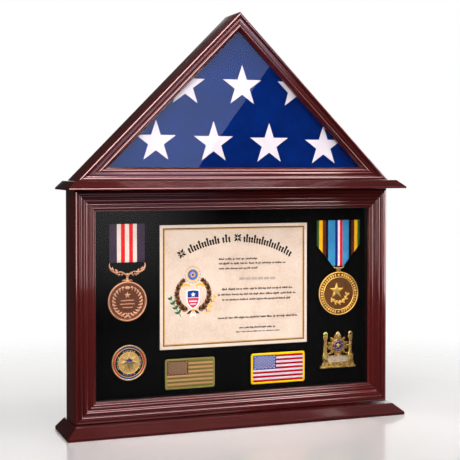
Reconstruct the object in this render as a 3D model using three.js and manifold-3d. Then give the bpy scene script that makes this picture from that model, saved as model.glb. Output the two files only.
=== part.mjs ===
// Folded flag display case: a triangular flag case on a moulded ledge, over a
// rectangular shadow box on a bevelled base. Millimetres, +Z up, +Y to the back.
// Origin: centre of the footprint, on the surface the base stands on.
import * as THREE from 'three';
import { mergeVertices } from 'three/addons/utils/BufferGeometryUtils.js';
import Module from 'manifold-3d';

const wasm = await Module();
wasm.setup();

// ---------------------------------------------------------------- dimensions
const GAP = 0.3; // clearance between touching pieces

// base board
const BASE_T = 21.8, BASE_HALF_W = 337.2, BASE_FRONT = -38.7, BASE_BACK = 65.3;
const BASE_FLARE_SIDE = 17.5, BASE_FLARE_FRONT = 18.9;
// ledge board between the two cases
const LEDGE_Z = 472.2, LEDGE_T = 16.9, LEDGE_HALF_W = 339.0, LEDGE_FRONT = -49.7, LEDGE_BACK = 65.3;
const LEDGE_FLARE_SIDE = 14.4, LEDGE_FLARE_FRONT = 15.6;
// lower shadow box
const BOX_HALF_W = 333, BOX_Z0 = BASE_T + GAP, BOX_Z1 = LEDGE_Z - GAP;
const BOX_FRONT = -21.3, BOX_BACK = 60.3;
const BOX_MOULD_W = 41, BOX_WALL = 20, BOX_LIP_BACK = -8.8, BOX_SHELF_Y = 54.8, BOX_EDGE = 10;
const BOX_GLASS = [-8.5, -6.0];
const SPACER_Y = [-5.7, 12.7], SPACER_IN = 40.4;
const BOARD_Y = [13.0, 23.0], BATTEN_Y = [23.3, 54.8], BATTEN_W = 22;
const BOX_PANEL_Y = [55.1, 60.0];
// upper flag case: a triangle, half base A, height H, base line at TRI_Z0
const TRI_A = 330, TRI_H = 334.7, TRI_Z0 = LEDGE_Z + LEDGE_T + GAP;
const TRI_FRONT = -29.7, TRI_BACK = 58.8;
const TRI_MOULD_W = 25.5, TRI_WALL = 18, TRI_LIP_BACK = -17.7, TRI_SHELF_Y = 53.3, TRI_EDGE = 10;
const TRI_GLASS = [-17.4, -14.9];
const FLAG_Y = [-14.2, 47.0], FLAG_INSET = 18.6;
const TRI_PANEL_Y = [53.6, 58.5];
// hardware
const BUTTON_L = 30, BUTTON_W = 9, BUTTON_T = 1.6, BUTTON_HOLE_R = 2.0;
const SCREW_SHANK_R = 1.5, SCREW_HEAD_R = 3.3, SCREW_HEAD_H = 1.8, SCREW_DEPTH = 12;
const DOWEL_R = 4, DOWEL_X = 200, DOWEL_Y = 20, DOWEL_Z = [460.2, 499.0];
const BASE_SCREW_X = [-270, -90, 90, 270], BASE_SCREW_Y = 21;

// what is displayed: [x0, x1, z0, z1], or [centre x, centre z, radius]
const CERTIFICATE = [-155.5, 162.0, 152.9, 400.5];
const LEFT_MEDAL = [-222.3, 252.7, 39.5], RIGHT_MEDAL = [234.0, 251.0, 45.7], MEDAL_TOP = 404.5, RIBBON_W = 71.2;
const COIN = [-219.2, 131.7, 35.1];
const PATCHES = [[-144.7, -40.5, 72.2, 133.4], [38.2, 157.4, 71.0, 134.4]];
const PIN = [232.8, 94.6]; // middle of its foot

// ----------------------------------------------------------------- materials
const mahogany = () => new THREE.MeshStandardMaterial({ color: 0x4a1216, roughness: 0.32, metalness: 0 });
const panelBoard = () => new THREE.MeshStandardMaterial({ color: 0x2a1512, roughness: 0.7, metalness: 0 });
const glass = () => new THREE.MeshStandardMaterial({ color: 0xe8f2f0, roughness: 0.03, metalness: 0, transparent: true, opacity: 0.2 });
const felt = () => new THREE.MeshStandardMaterial({ color: 0x0a0a0b, roughness: 0.95, metalness: 0 });
const flagCloth = () => new THREE.MeshStandardMaterial({ color: 0x07205f, roughness: 0.8, metalness: 0 });
const steel = () => new THREE.MeshStandardMaterial({ color: 0xb9b9b4, roughness: 0.35, metalness: 1 });
const brass = () => new THREE.MeshStandardMaterial({ color: 0xc79a3a, roughness: 0.35, metalness: 1 });
const bronze = () => new THREE.MeshStandardMaterial({ color: 0x9a5a38, roughness: 0.4, metalness: 1 });
const paper = () => new THREE.MeshStandardMaterial({ color: 0xe9dfc8, roughness: 0.8, metalness: 0 });
const ribbonCloth = (c) => new THREE.MeshStandardMaterial({ color: c, roughness: 0.75, metalness: 0 });
const patchCloth = (c) => new THREE.MeshStandardMaterial({ color: c, roughness: 0.85, metalness: 0 });
const beech = () => new THREE.MeshStandardMaterial({ color: 0xc79a6a, roughness: 0.6, metalness: 0 });

// ------------------------------------------------------------------- helpers
const part = new THREE.Group();

function add(name, geometry, material) {
  geometry.deleteAttribute('uv');
  geometry.computeVertexNormals();
  const mesh = new THREE.Mesh(geometry, material);
  mesh.name = name;
  part.add(mesh);
  return mesh;
}

function signedVolume(position) {
  let v = 0;
  for (let i = 0; i < position.count; i += 3) {
    const [ax, ay, az] = [position.getX(i), position.getY(i), position.getZ(i)];
    const [bx, by, bz] = [position.getX(i + 1), position.getY(i + 1), position.getZ(i + 1)];
    const [cx, cy, cz] = [position.getX(i + 2), position.getY(i + 2), position.getZ(i + 2)];
    v += ax * (by * cz - bz * cy) + ay * (bz * cx - bx * cz) + az * (bx * cy - by * cx);
  }
  return v / 6;
}

// A non-indexed copy with its faces pointing out.
function outward(geometry) {
  const g = geometry.index ? geometry.toNonIndexed() : geometry;
  for (const name of Object.keys(g.attributes)) if (name !== 'position') g.deleteAttribute(name);
  const p = g.attributes.position;
  if (signedVolume(p) < 0) {
    for (let i = 0; i < p.count; i += 3) {
      const b = [p.getX(i + 1), p.getY(i + 1), p.getZ(i + 1)];
      p.setXYZ(i + 1, p.getX(i + 2), p.getY(i + 2), p.getZ(i + 2));
      p.setXYZ(i + 2, b[0], b[1], b[2]);
    }
  }
  return g;
}

function toManifold(geometry) {
  const g = mergeVertices(outward(geometry), 1e-4);
  return new wasm.Manifold(new wasm.Mesh({
    numProp: 3,
    vertProperties: new Float32Array(g.attributes.position.array),
    triVerts: new Uint32Array(g.index.array),
  }));
}

function fromManifold(m) {
  const mesh = m.getMesh();
  const g = new THREE.BufferGeometry();
  g.setAttribute('position', new THREE.BufferAttribute(new Float32Array(mesh.vertProperties), 3));
  g.setIndex(new THREE.BufferAttribute(new Uint32Array(mesh.triVerts), 1));
  return g.toNonIndexed();
}

function cut(geometry, cutters) {
  let m = toManifold(geometry);
  for (const c of cutters) m = m.subtract(toManifold(c));
  return fromManifold(m);
}

// Half an ellipse bulging to the front: from (u0, d) over (mid, top) to (u1, d).
function bead(u0, u1, d, top, n = 6) {
  const c = (u0 + u1) / 2, r = (u1 - u0) / 2, out = [];
  for (let i = 0; i <= n; i++) {
    const a = Math.PI * i / n;
    out.push([c - r * Math.cos(a), d - (d - top) * Math.sin(a)]);
  }
  return out;
}

// A mitred length of moulding. The section is drawn as (inset from the outer
// edge, depth Y); from(u) and to(u) give the ends of the line at inset u.
function mitredRail(section, from, to) {
  const shape = new THREE.Shape(section.map(([u, y]) => new THREE.Vector2(u, y)));
  const g = new THREE.ExtrudeGeometry(shape, { depth: 1, steps: 1, bevelEnabled: false });
  const p = g.attributes.position;
  for (let i = 0; i < p.count; i++) {
    const u = p.getX(i), y = p.getY(i), [x, z] = p.getZ(i) < 0.5 ? from(u) : to(u);
    p.setXYZ(i, x, y, z);
  }
  return outward(g);
}

// A board with a flat top, a sloped front and ends, a rounded nose and a flat
// back. rings: [z, how far the outline stands out, as a share of the flare].
function bevelledBoard(halfW, front, back, flareSide, flareFront, rings) {
  const shape = new THREE.Shape([
    new THREE.Vector2(-halfW, front), new THREE.Vector2(halfW, front),
    new THREE.Vector2(halfW, back), new THREE.Vector2(-halfW, back),
  ]);
  const n = rings.length - 1;
  const g = new THREE.ExtrudeGeometry(shape, { depth: n, steps: n, bevelEnabled: false });
  const p = g.attributes.position;
  for (let i = 0; i < p.count; i++) {
    const [z, k] = rings[Math.round(p.getZ(i))];
    const x = p.getX(i), y = p.getY(i);
    p.setXYZ(i, x + Math.sign(x) * flareSide * k, y < 0 ? y - flareFront * k : y, z);
  }
  return outward(g);
}

function boxBetween(x0, x1, y0, y1, z0, z1) {
  return new THREE.BoxGeometry(x1 - x0, y1 - y0, z1 - z0)
    .translate((x0 + x1) / 2, (y0 + y1) / 2, (z0 + z1) / 2);
}

// A plate drawn in X-Z, from y0 to y1.
function plate(points, y0, y1, holes = []) {
  const shape = new THREE.Shape(points.map(([x, z]) => new THREE.Vector2(x, z)));
  for (const h of holes) shape.holes.push(new THREE.Path(h.map(([x, z]) => new THREE.Vector2(x, z))));
  const g = new THREE.ExtrudeGeometry(shape, { depth: y1 - y0, steps: 1, bevelEnabled: false });
  const p = g.attributes.position;
  for (let i = 0; i < p.count; i++) p.setXYZ(i, p.getX(i), y0 + p.getZ(i), p.getY(i));
  return outward(g);
}

function circle(cx, cz, r, n) {
  return Array.from({ length: n }, (_, i) => [cx + r * Math.cos(2 * Math.PI * i / n), cz + r * Math.sin(2 * Math.PI * i / n)]);
}

function roundedRect(x0, x1, z0, z1, r, n = 3) {
  const out = [];
  for (const [cx, cz, a0] of [[x1 - r, z1 - r, 0], [x0 + r, z1 - r, 90], [x0 + r, z0 + r, 180], [x1 - r, z0 + r, 270]]) {
    for (let i = 0; i <= n; i++) {
      const a = (a0 + 90 * i / n) * Math.PI / 180;
      out.push([cx + r * Math.cos(a), cz + r * Math.sin(a)]);
    }
  }
  return out;
}

// A turned piece: profile [radius, height] about +Z, laid along +Y or left on +Z.
function turned(profile, segments) {
  return new THREE.LatheGeometry(profile.map(([r, h]) => new THREE.Vector2(r, h)), segments).rotateX(Math.PI / 2);
}
function turnedAlongY(profile, segments, x, z) {
  // the lathe's own axis is Y
  return new THREE.LatheGeometry(profile.map(([r, h]) => new THREE.Vector2(r, h)), segments).translate(x, 0, z);
}

// ------------------------------------------------------------ mould sections
const boxProfile = [];
for (let i = 0; i <= 6; i++) { // rounded outer corner
  const a = Math.PI / 2 * i / 6;
  boxProfile.push([8.6 * (1 - Math.cos(a)), 8.5 - 7.6 * Math.sin(a)]);
}
boxProfile.push(
  [9.0, 1.9], ...bead(9.2, 14.2, 1.7, 0), [14.5, 3.0], [17.2, 3.4],
  ...bead(17.6, 24.0, 2.4, 0.4, 8), [24.3, 3.2], [25.3, 4.3], [26.8, 4.9], [28.3, 4.5], [29.4, 3.4],
  [30.2, 2.6], [31.2, 2.6], [31.8, 3.6], [32.6, 4.0],
  ...bead(33.0, 37.4, 3.6, 2.2), [37.8, 4.6], [38.8, 4.8], [39.2, 3.8], [40.0, 3.2], [40.7, 3.5], [BOX_MOULD_W, 4.2],
);
const boxSection = [
  [0, BOX_BACK], ...boxProfile.map(([u, d]) => [u, BOX_FRONT + d]),
  [BOX_MOULD_W, BOX_LIP_BACK], [BOX_WALL, BOX_LIP_BACK], [BOX_WALL, BOX_SHELF_Y],
  [BOX_EDGE, BOX_SHELF_Y], [BOX_EDGE, BOX_BACK],
];

const triProfile = [
  ...bead(0, 7.0, 3.4, 0, 8), [7.3, 4.9], [10.0, 5.1], [10.5, 3.0], [15.8, 3.8], [16.2, 4.8], [16.8, 4.8],
  ...bead(17.0, 21.8, 3.6, 1.8), [22.1, 4.6], [TRI_MOULD_W, 7.5],
];
const triSection = [
  [0, TRI_BACK], ...triProfile.map(([u, d]) => [u, TRI_FRONT + d]),
  [TRI_MOULD_W, TRI_LIP_BACK], [TRI_WALL, TRI_LIP_BACK], [TRI_WALL, TRI_SHELF_Y],
  [TRI_EDGE, TRI_SHELF_Y], [TRI_EDGE, TRI_BACK],
];

// Corners of the two outlines at an inset u.
const TRI_SIDE = Math.hypot(TRI_A, TRI_H);
const TRI_R = TRI_A * TRI_H / (TRI_A + TRI_SIDE);
const triCorner = (x, z) => (u) => {
  const k = 1 - u / TRI_R, cz = TRI_Z0 + TRI_R;
  return [x * k, cz + (z - cz) * k];
};
const triLeft = triCorner(-TRI_A, TRI_Z0), triRight = triCorner(TRI_A, TRI_Z0), triApex = triCorner(0, TRI_Z0 + TRI_H);
const triOutline = (u) => [triLeft(u), triRight(u), triApex(u)];
const along = (corner, dx, dz) => (u) => { const [x, z] = corner(u); return [x + dx, z + dz]; };
// half the mitre gap, measured along each rail
const RX = TRI_A / TRI_SIDE, RZ = TRI_H / TRI_SIDE;
const gapFoot = GAP / 2 / Math.sin(Math.atan2(TRI_H, TRI_A) / 2);
const gapApex = GAP / 2 / Math.sin(Math.atan2(TRI_A, TRI_H));

// Where the turn buttons' pivots are: [name, x, z, rest direction, inward direction].
const mid = (a, b, t, inset) => {
  const [ax, az] = a(inset), [bx, bz] = b(inset);
  return [ax + (bx - ax) * t, az + (bz - az) * t];
};
const triButtons = [
  ['upper_turn_button_left', ...mid(triLeft, triApex, 0.52, 5), [-RX, -RZ]],
  ['upper_turn_button_right', ...mid(triRight, triApex, 0.52, 5), [RX, -RZ]],
  ['upper_turn_button_bottom', 15, TRI_Z0 + 5, [-1, 0]],
];
const boxButtons = [
  ['lower_turn_button_left_top', -BOX_HALF_W + 5, 372, [0, -1]],
  ['lower_turn_button_left_bottom', -BOX_HALF_W + 5, 152, [0, -1]],
  ['lower_turn_button_right_top', BOX_HALF_W - 5, 372, [0, -1]],
  ['lower_turn_button_right_bottom', BOX_HALF_W - 5, 152, [0, -1]],
  ['lower_turn_button_top', 15, BOX_Z1 - 5, [-1, 0]],
  ['lower_turn_button_bottom', 15, BOX_Z0 + 5, [-1, 0]],
];
const screwHole = (x, z, back) => turnedAlongY([[0, back - SCREW_DEPTH - 2], [SCREW_SHANK_R + GAP, back - SCREW_DEPTH - 2], [SCREW_SHANK_R + GAP, back + 2], [0, back + 2]], 12, x, z);
const near = (list, test) => list.filter(([, x, z]) => test(x, z));

// ------------------------------------------------------------------ base board
const baseRings = [
  [0, 0.93], [1.4, 1], [5.6, 1], [7.4, 0.93], [8.6, 0.84], [BASE_T - 0.9, 0.045], [BASE_T, 0],
];
const baseScrewHole = (x) => {
  const g = turned([[0, -1], [4.6, -1], [4.6, 0.4], [2.2, 3.6], [2.2, BASE_T + 1], [0, BASE_T + 1]], 16);
  return outward(g).translate(x, BASE_SCREW_Y, 0);
};
add('base_board',
  cut(bevelledBoard(BASE_HALF_W, BASE_FRONT, BASE_BACK, BASE_FLARE_SIDE, BASE_FLARE_FRONT, baseRings), BASE_SCREW_X.map(baseScrewHole)),
  mahogany());

// ----------------------------------------------------------------- ledge board
const ledgeRings = [
  [0, 0.95], [0.9, 1], [3.4, 1], [4.8, 0.9], [LEDGE_T - 0.8, 0.05], [LEDGE_T, 0],
].map(([z, k]) => [LEDGE_Z + z, k]);
const dowelHole = (x, z0, z1) => new THREE.CylinderGeometry(DOWEL_R + GAP, DOWEL_R + GAP, z1 - z0, 16)
  .rotateX(Math.PI / 2).translate(x, DOWEL_Y, (z0 + z1) / 2);
add('ledge_board',
  cut(bevelledBoard(LEDGE_HALF_W, LEDGE_FRONT, LEDGE_BACK, LEDGE_FLARE_SIDE, LEDGE_FLARE_FRONT, ledgeRings),
    [-DOWEL_X, DOWEL_X].map((x) => dowelHole(x, LEDGE_Z - 2, LEDGE_Z + LEDGE_T + 2))),
  mahogany());
for (const [side, x] of [['left', -DOWEL_X], ['right', DOWEL_X]]) {
  add(`ledge_dowel_${side}`,
    new THREE.CylinderGeometry(DOWEL_R, DOWEL_R, DOWEL_Z[1] - DOWEL_Z[0], 16).rotateX(Math.PI / 2)
      .translate(x, DOWEL_Y, (DOWEL_Z[0] + DOWEL_Z[1]) / 2),
    beech());
}

// ------------------------------------------------------------- lower box frame
const boxCorner = (sx, sz) => (u) => [sx * (BOX_HALF_W - u), sz > 0 ? BOX_Z1 - u : BOX_Z0 + u];
const TL = boxCorner(-1, 1), TR = boxCorner(1, 1), BL = boxCorner(-1, -1), BR = boxCorner(1, -1);
const g45 = GAP / 2 / Math.SQRT1_2;
const boxBack = (x, z) => screwHole(x, z, BOX_BACK);
add('lower_top_rail',
  cut(mitredRail(boxSection, along(TL, g45, 0), along(TR, -g45, 0)), [
    ...[-DOWEL_X, DOWEL_X].map((x) => dowelHole(x, DOWEL_Z[0] - GAP, BOX_Z1 + 2)),
    ...near(boxButtons, (x, z) => z > BOX_Z1 - 9).map(([, x, z]) => boxBack(x, z)),
  ]), mahogany());
add('lower_bottom_rail',
  cut(mitredRail(boxSection, along(BL, g45, 0), along(BR, -g45, 0)), [
    ...BASE_SCREW_X.map((x) => outward(turned([[0, BOX_Z0 - 2], [2.0, BOX_Z0 - 2], [2.0, 36.6], [0, 36.6]], 12)).translate(x, BASE_SCREW_Y, 0)),
    ...near(boxButtons, (x, z) => z < BOX_Z0 + 9).map(([, x, z]) => boxBack(x, z)),
  ]), mahogany());
add('lower_left_stile',
  cut(mitredRail(boxSection, along(BL, 0, g45), along(TL, 0, -g45)), near(boxButtons, (x) => x < -300).map(([, x, z]) => boxBack(x, z))),
  mahogany());
add('lower_right_stile',
  cut(mitredRail(boxSection, along(BR, 0, g45), along(TR, 0, -g45)), near(boxButtons, (x) => x > 300).map(([, x, z]) => boxBack(x, z))),
  mahogany());

// --------------------------------------------------------- lower box inside
const inX = BOX_HALF_W - BOX_WALL - GAP, inZ0 = BOX_Z0 + BOX_WALL + GAP, inZ1 = BOX_Z1 - BOX_WALL - GAP;
add('lower_glass', boxBetween(-inX, inX, ...BOX_GLASS, inZ0, inZ1), glass());
const sX = BOX_HALF_W - SPACER_IN, sZ0 = BOX_Z0 + SPACER_IN, sZ1 = BOX_Z1 - SPACER_IN;
add('spacer_top', boxBetween(-inX, inX, ...SPACER_Y, sZ1, inZ1), felt());
add('spacer_bottom', boxBetween(-inX, inX, ...SPACER_Y, inZ0, sZ0), felt());
add('spacer_left', boxBetween(-inX, -sX, ...SPACER_Y, sZ0 + GAP, sZ1 - GAP), felt());
add('spacer_right', boxBetween(sX, inX, ...SPACER_Y, sZ0 + GAP, sZ1 - GAP), felt());
add('display_board', boxBetween(-inX + 0.5, inX - 0.5, ...BOARD_Y, inZ0 + 0.5, inZ1 - 0.5), felt());
add('board_batten_left', boxBetween(-220 - BATTEN_W, -220, ...BATTEN_Y, inZ0 + 20, inZ1 - 20), beech());
add('board_batten_right', boxBetween(220, 220 + BATTEN_W, ...BATTEN_Y, inZ0 + 20, inZ1 - 20), beech());
const pX = BOX_HALF_W - BOX_EDGE - 0.5, pZ0 = BOX_Z0 + BOX_EDGE + 0.5, pZ1 = BOX_Z1 - BOX_EDGE - 0.5;
add('lower_back_panel', plate(roundedRect(-pX, pX, pZ0, pZ1, 2, 2), ...BOX_PANEL_Y), panelBoard());

// ------------------------------------------------------------ upper flag case
const triBack = (x, z) => screwHole(x, z, TRI_BACK);
add('upper_left_rafter',
  cut(mitredRail(triSection, along(triLeft, RX * gapFoot, RZ * gapFoot), along(triApex, -RX * gapApex, -RZ * gapApex)),
    near(triButtons, (x, z) => x < -60).map(([, x, z]) => triBack(x, z))), mahogany());
add('upper_right_rafter',
  cut(mitredRail(triSection, along(triRight, -RX * gapFoot, RZ * gapFoot), along(triApex, RX * gapApex, -RZ * gapApex)),
    near(triButtons, (x, z) => x > 60).map(([, x, z]) => triBack(x, z))), mahogany());
add('upper_bottom_rail',
  cut(mitredRail(triSection, along(triLeft, gapFoot, 0), along(triRight, -gapFoot, 0)), [
    ...[-DOWEL_X, DOWEL_X].map((x) => dowelHole(x, TRI_Z0 - 2, DOWEL_Z[1] + GAP)),
    ...near(triButtons, (x, z) => Math.abs(x) < 60).map(([, x, z]) => triBack(x, z)),
  ]), mahogany());
add('upper_glass', plate(triOutline(TRI_WALL + 0.4), ...TRI_GLASS), glass());

// A triangle with blunted corners, for the rear panel and the folded flag.
function bluntTriangle(u, c) {
  const pts = triOutline(u), out = [];
  for (let i = 0; i < 3; i++) {
    const [x, z] = pts[i], [px, pz] = pts[(i + 2) % 3], [nx, nz] = pts[(i + 1) % 3];
    const lp = Math.hypot(px - x, pz - z), ln = Math.hypot(nx - x, nz - z);
    out.push([x + (px - x) * c / lp, z + (pz - z) * c / lp], [x + (nx - x) * c / ln, z + (nz - z) * c / ln]);
  }
  return out;
}
add('upper_back_panel', plate(bluntTriangle(TRI_EDGE + 0.5, 4), ...TRI_PANEL_Y), panelBoard());

{
  // folded flag: a thick soft triangle with eased edges
  const ease = 5;
  const shape = new THREE.Shape(bluntTriangle(FLAG_INSET + ease, 6).map(([x, z]) => new THREE.Vector2(x, z)));
  const depth = FLAG_Y[1] - FLAG_Y[0] - 2 * ease;
  const g = new THREE.ExtrudeGeometry(shape, { depth, steps: 1, bevelEnabled: true, bevelSize: ease, bevelThickness: ease, bevelSegments: 3 });
  const p = g.attributes.position;
  for (let i = 0; i < p.count; i++) p.setXYZ(i, p.getX(i), FLAG_Y[0] + ease + p.getZ(i), p.getY(i));
  add('folded_flag', outward(g), flagCloth());
}

// ------------------------------------------------------------------- hardware
// A turn button: a flat bar with round ends that swings on its screw.
function turnButton(x, z, [dx, dz], back) {
  const r = BUTTON_W / 2, reach = BUTTON_L - BUTTON_W, pts = [];
  const a0 = Math.atan2(dz, dx);
  for (let i = 0; i <= 6; i++) { const a = a0 + Math.PI / 2 + Math.PI * i / 6; pts.push([x + r * Math.cos(a), z + r * Math.sin(a)]); }
  for (let i = 0; i <= 6; i++) { const a = a0 - Math.PI / 2 + Math.PI * i / 6; pts.push([x + dx * reach + r * Math.cos(a), z + dz * reach + r * Math.sin(a)]); }
  return plate(pts, back + GAP, back + GAP + BUTTON_T, [circle(x, z, BUTTON_HOLE_R, 12).reverse()]);
}
function panScrew(x, z, back) {
  const h0 = back + GAP + BUTTON_T + GAP;
  return turnedAlongY([
    [0, back - SCREW_DEPTH], [0.5, back - SCREW_DEPTH + 0.6], [SCREW_SHANK_R, back - SCREW_DEPTH + 3], [SCREW_SHANK_R, h0],
    [SCREW_HEAD_R, h0], [SCREW_HEAD_R, h0 + 0.6], [2.5, h0 + 1.5], [0, h0 + SCREW_HEAD_H],
  ], 14, x, z);
}
for (const [list, back] of [[triButtons, TRI_BACK], [boxButtons, BOX_BACK]]) {
  for (const [name, x, z, dir] of list) {
    add(name, turnButton(x, z, dir, back), brass());
    add(name.replace('turn_button', 'turn_screw'), outward(panScrew(x, z, back)), steel());
  }
}
BASE_SCREW_X.forEach((x, i) => {
  const g = turned([[0, 0.6], [3.8, 0.6], [3.9, 0.9], [1.7, 3.4], [1.7, 33], [0, 36]], 14);
  add(`base_screw_${i + 1}`, outward(g).translate(x, BASE_SCREW_Y, 0), steel());
});

// ------------------------------------------------------------ things displayed
const B0 = BOARD_Y[0] - GAP; // the front of the board, less a hair
const [cx0, cx1, cz0, cz1] = CERTIFICATE;
add('certificate', boxBetween(cx0, cx1, B0 - 0.8, B0, cz0, cz1), paper());

// a medal or coin: thick disc with a raised rim
const disc = ([x, z, r], t, rim, dish, n) => outward(turnedAlongY([
  [0, B0], [r - 0.6, B0], [r, B0 - 0.6], [r, B0 - t + 0.6], [r - 0.6, B0 - t], [r - rim, B0 - t], [r - rim - 0.6, B0 - t + dish], [0, B0 - t + dish],
], n, x, z));
const shifted = (x, z, points) => points.map(([px, pz]) => [px + x, pz + z]);
const mirrored = (half) => [...half, ...half.map(([x, z]) => [-x, z]).reverse()];

{
  const [x, z, r] = LEFT_MEDAL, top = z + r + GAP;
  add('left_medal_disc', disc(LEFT_MEDAL, 4, 3.2, 1.0, 36), bronze());
  // scrolled suspension bar with its neck down to the disc
  add('left_medal_bar', plate(shifted(x, top, mirrored([
    [5.6, 0], [5.2, 9], [9.6, 13.6], [21, 14.6], [32, 18.4], [39, 25.6], [39, 32.4], [35.2, 36.2],
  ])), B0 - 4, B0), bronze());
  add('left_medal_ribbon', boxBetween(x - RIBBON_W / 2, x + RIBBON_W / 2, B0 - 2, B0, top + 36.2 + GAP, MEDAL_TOP), ribbonCloth(0x5a1b3a));
}
{
  const [x, z, r] = RIGHT_MEDAL, top = z + r + GAP;
  add('right_medal_disc', disc(RIGHT_MEDAL, 4.4, 3.4, 1.0, 40), brass());
  add('right_medal_hanger', plate(shifted(x, top, mirrored([[2.6, 0], [5.6, 1.4], [8.4, 7], [7.6, 11.3]])), B0 - 4, B0), brass());
  add('right_medal_ribbon', plate(shifted(x, 0, mirrored([
    [12.7, top + 11.6], [49.2, 352.8], [49.2, MEDAL_TOP],
  ])), B0 - 2, B0), ribbonCloth(0x2f7ea8));
}
add('challenge_coin', disc(COIN, 3.4, 3.0, 0.7, 36), brass());
{
  const [[a0, a1, a2, a3], [b0, b1, b2, b3]] = PATCHES;
  add('patch_left', plate(roundedRect(a0, a1, a2, a3, 2.5), B0 - 2, B0), patchCloth(0x8d7f52));
  add('patch_right', plate(roundedRect(b0, b1, b2, b3, 2.5), B0 - 2, B0), patchCloth(0xa22230));
}
// brooch pin: two pillars on a stepped foot with a rosette between them
add('lapel_pin', plate(shifted(PIN[0], PIN[1], mirrored([
  [40.6, 0], [40.6, 11], [34.8, 15], [34.8, 28], [37.2, 28], [37.2, 34], [32.2, 36], [32.2, 62], [36.2, 65],
  [36.2, 72], [31.8, 77.2], [25.6, 77.2], [21.2, 72], [21.2, 65], [15.8, 60], [10.6, 70], [0.01, 76],
])), B0 - 5.5, B0), brass());

export default part;
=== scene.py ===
import math
import random

import bmesh
import bpy
import numpy as np
from mathutils import Matrix, Vector


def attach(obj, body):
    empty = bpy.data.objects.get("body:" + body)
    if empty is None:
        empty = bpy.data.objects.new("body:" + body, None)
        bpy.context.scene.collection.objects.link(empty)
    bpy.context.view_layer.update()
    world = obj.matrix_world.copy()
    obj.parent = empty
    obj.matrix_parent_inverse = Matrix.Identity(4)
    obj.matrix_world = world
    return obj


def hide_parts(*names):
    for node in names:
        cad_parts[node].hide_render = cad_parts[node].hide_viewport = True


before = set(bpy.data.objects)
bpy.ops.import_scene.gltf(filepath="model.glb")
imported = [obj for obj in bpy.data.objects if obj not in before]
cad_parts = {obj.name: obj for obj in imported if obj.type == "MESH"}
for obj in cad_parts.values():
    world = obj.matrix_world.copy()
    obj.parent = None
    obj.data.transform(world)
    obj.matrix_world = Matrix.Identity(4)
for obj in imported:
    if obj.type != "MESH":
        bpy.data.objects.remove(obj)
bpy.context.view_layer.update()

MM = 0.001
sin, cos, pi, hypot = math.sin, math.cos, math.pi, math.hypot

# ============================================================ camera and light
scene = bpy.context.scene
scene.view_settings.view_transform = "Standard"
scene.view_settings.look = "None"

CAM = Vector((-0.7855, -2.1207, 0.5162))
YAW, PITCH = math.radians(20.046), math.radians(1.341)
cam_data = bpy.data.cameras.new("camera")
cam_data.sensor_width = 36.0
cam_data.lens = 87.859
cam_data.shift_y = -0.08
cam_data.clip_start = 0.05
cam_data.clip_end = 60
cam = bpy.data.objects.new("camera", cam_data)
cam.location = CAM
cam.rotation_euler = (pi / 2 - PITCH, 0, -YAW)
scene.collection.objects.link(cam)
scene.camera = cam


def node(nt, kind, ins=None, **attrs):
    n = nt.nodes.new("ShaderNode" + kind)
    for k, v in attrs.items():
        setattr(n, k, v)
    for k, v in (ins or {}).items():
        s = n.inputs[k]
        if isinstance(v, bpy.types.NodeSocket):
            nt.links.new(v, s)
        else:
            s.default_value = v
    return n


def ramp(nt, fac, stops, mode="LINEAR"):
    r = nt.nodes.new("ShaderNodeValToRGB")
    r.color_ramp.interpolation = mode
    e = r.color_ramp.elements
    while len(e) < len(stops):
        e.new(0.5)
    for i, (p, c) in enumerate(stops):
        e[i].position = p
        if isinstance(c, (int, float)):
            c = (c, c, c)
        e[i].color = (*c, 1)
    nt.links.new(fac, r.inputs[0])
    return r.outputs[0]


def rng(nt, value, a, b, c, d):
    return node(nt, "MapRange", {"Value": value, "From Min": a, "From Max": b, "To Min": c, "To Max": d}).outputs[0]


def mixc(nt, fac, a, b, blend="MIX"):
    n = nt.nodes.new("ShaderNodeMix")
    n.data_type = "RGBA"
    n.blend_type = blend
    n.clamp_factor = True
    for i, v in ((0, fac), (6, a), (7, b)):
        if isinstance(v, bpy.types.NodeSocket):
            nt.links.new(v, n.inputs[i])
        else:
            n.inputs[i].default_value = v if i == 0 else (*v, 1)
    return n.outputs[2]


def math_(nt, op, a, b=0.0):
    n = nt.nodes.new("ShaderNodeMath")
    n.operation = op
    for i, v in ((0, a), (1, b)):
        if isinstance(v, bpy.types.NodeSocket):
            nt.links.new(v, n.inputs[i])
        else:
            n.inputs[i].default_value = v
    return n.outputs[0]


# world: white behind the object for the camera, and a dim soft room for light
world = bpy.data.worlds.new("studio")
scene.world = world
world.use_nodes = True
wt = world.node_tree
wt.nodes.clear()
w_dir = node(wt, "TexCoord").outputs["Generated"]
w_sep = node(wt, "SeparateXYZ", {"Vector": w_dir})
w_up = rng(wt, w_sep.outputs["Z"], 0.35, 0.95, 0.0, 0.07)
w_wall = math_(wt, "MULTIPLY", node(wt, "MapRange", {"Value": w_sep.outputs["X"], "From Min": 0.08, "From Max": 0.15, "To Min": 0.0, "To Max": 1.0}, interpolation_type="SMOOTHSTEP").outputs[0],
               math_(wt, "MULTIPLY", rng(wt, w_sep.outputs["Y"], 0.1, 0.5, 0.0, 1.0), rng(wt, w_sep.outputs["Z"], 0.30, 0.55, 1.0, 0.0)))
w_side = rng(wt, w_sep.outputs["Y"], -0.2, 0.7, 0.022, 0.022)
w_amb = math_(wt, "MAXIMUM", math_(wt, "MAXIMUM", w_up, w_side), w_wall)
w_amb_bg = node(wt, "Background", {"Color": (1, 0.985, 0.975, 1), "Strength": w_amb})
w_cam_bg = node(wt, "Background", {"Color": (1, 1, 1, 1), "Strength": 1.0})
w_mix = node(wt, "MixShader", {0: node(wt, "LightPath").outputs["Is Camera Ray"], 1: w_amb_bg.outputs[0], 2: w_cam_bg.outputs[0]})
w_out = node(wt, "OutputWorld", {"Surface": w_mix.outputs[0]})


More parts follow.
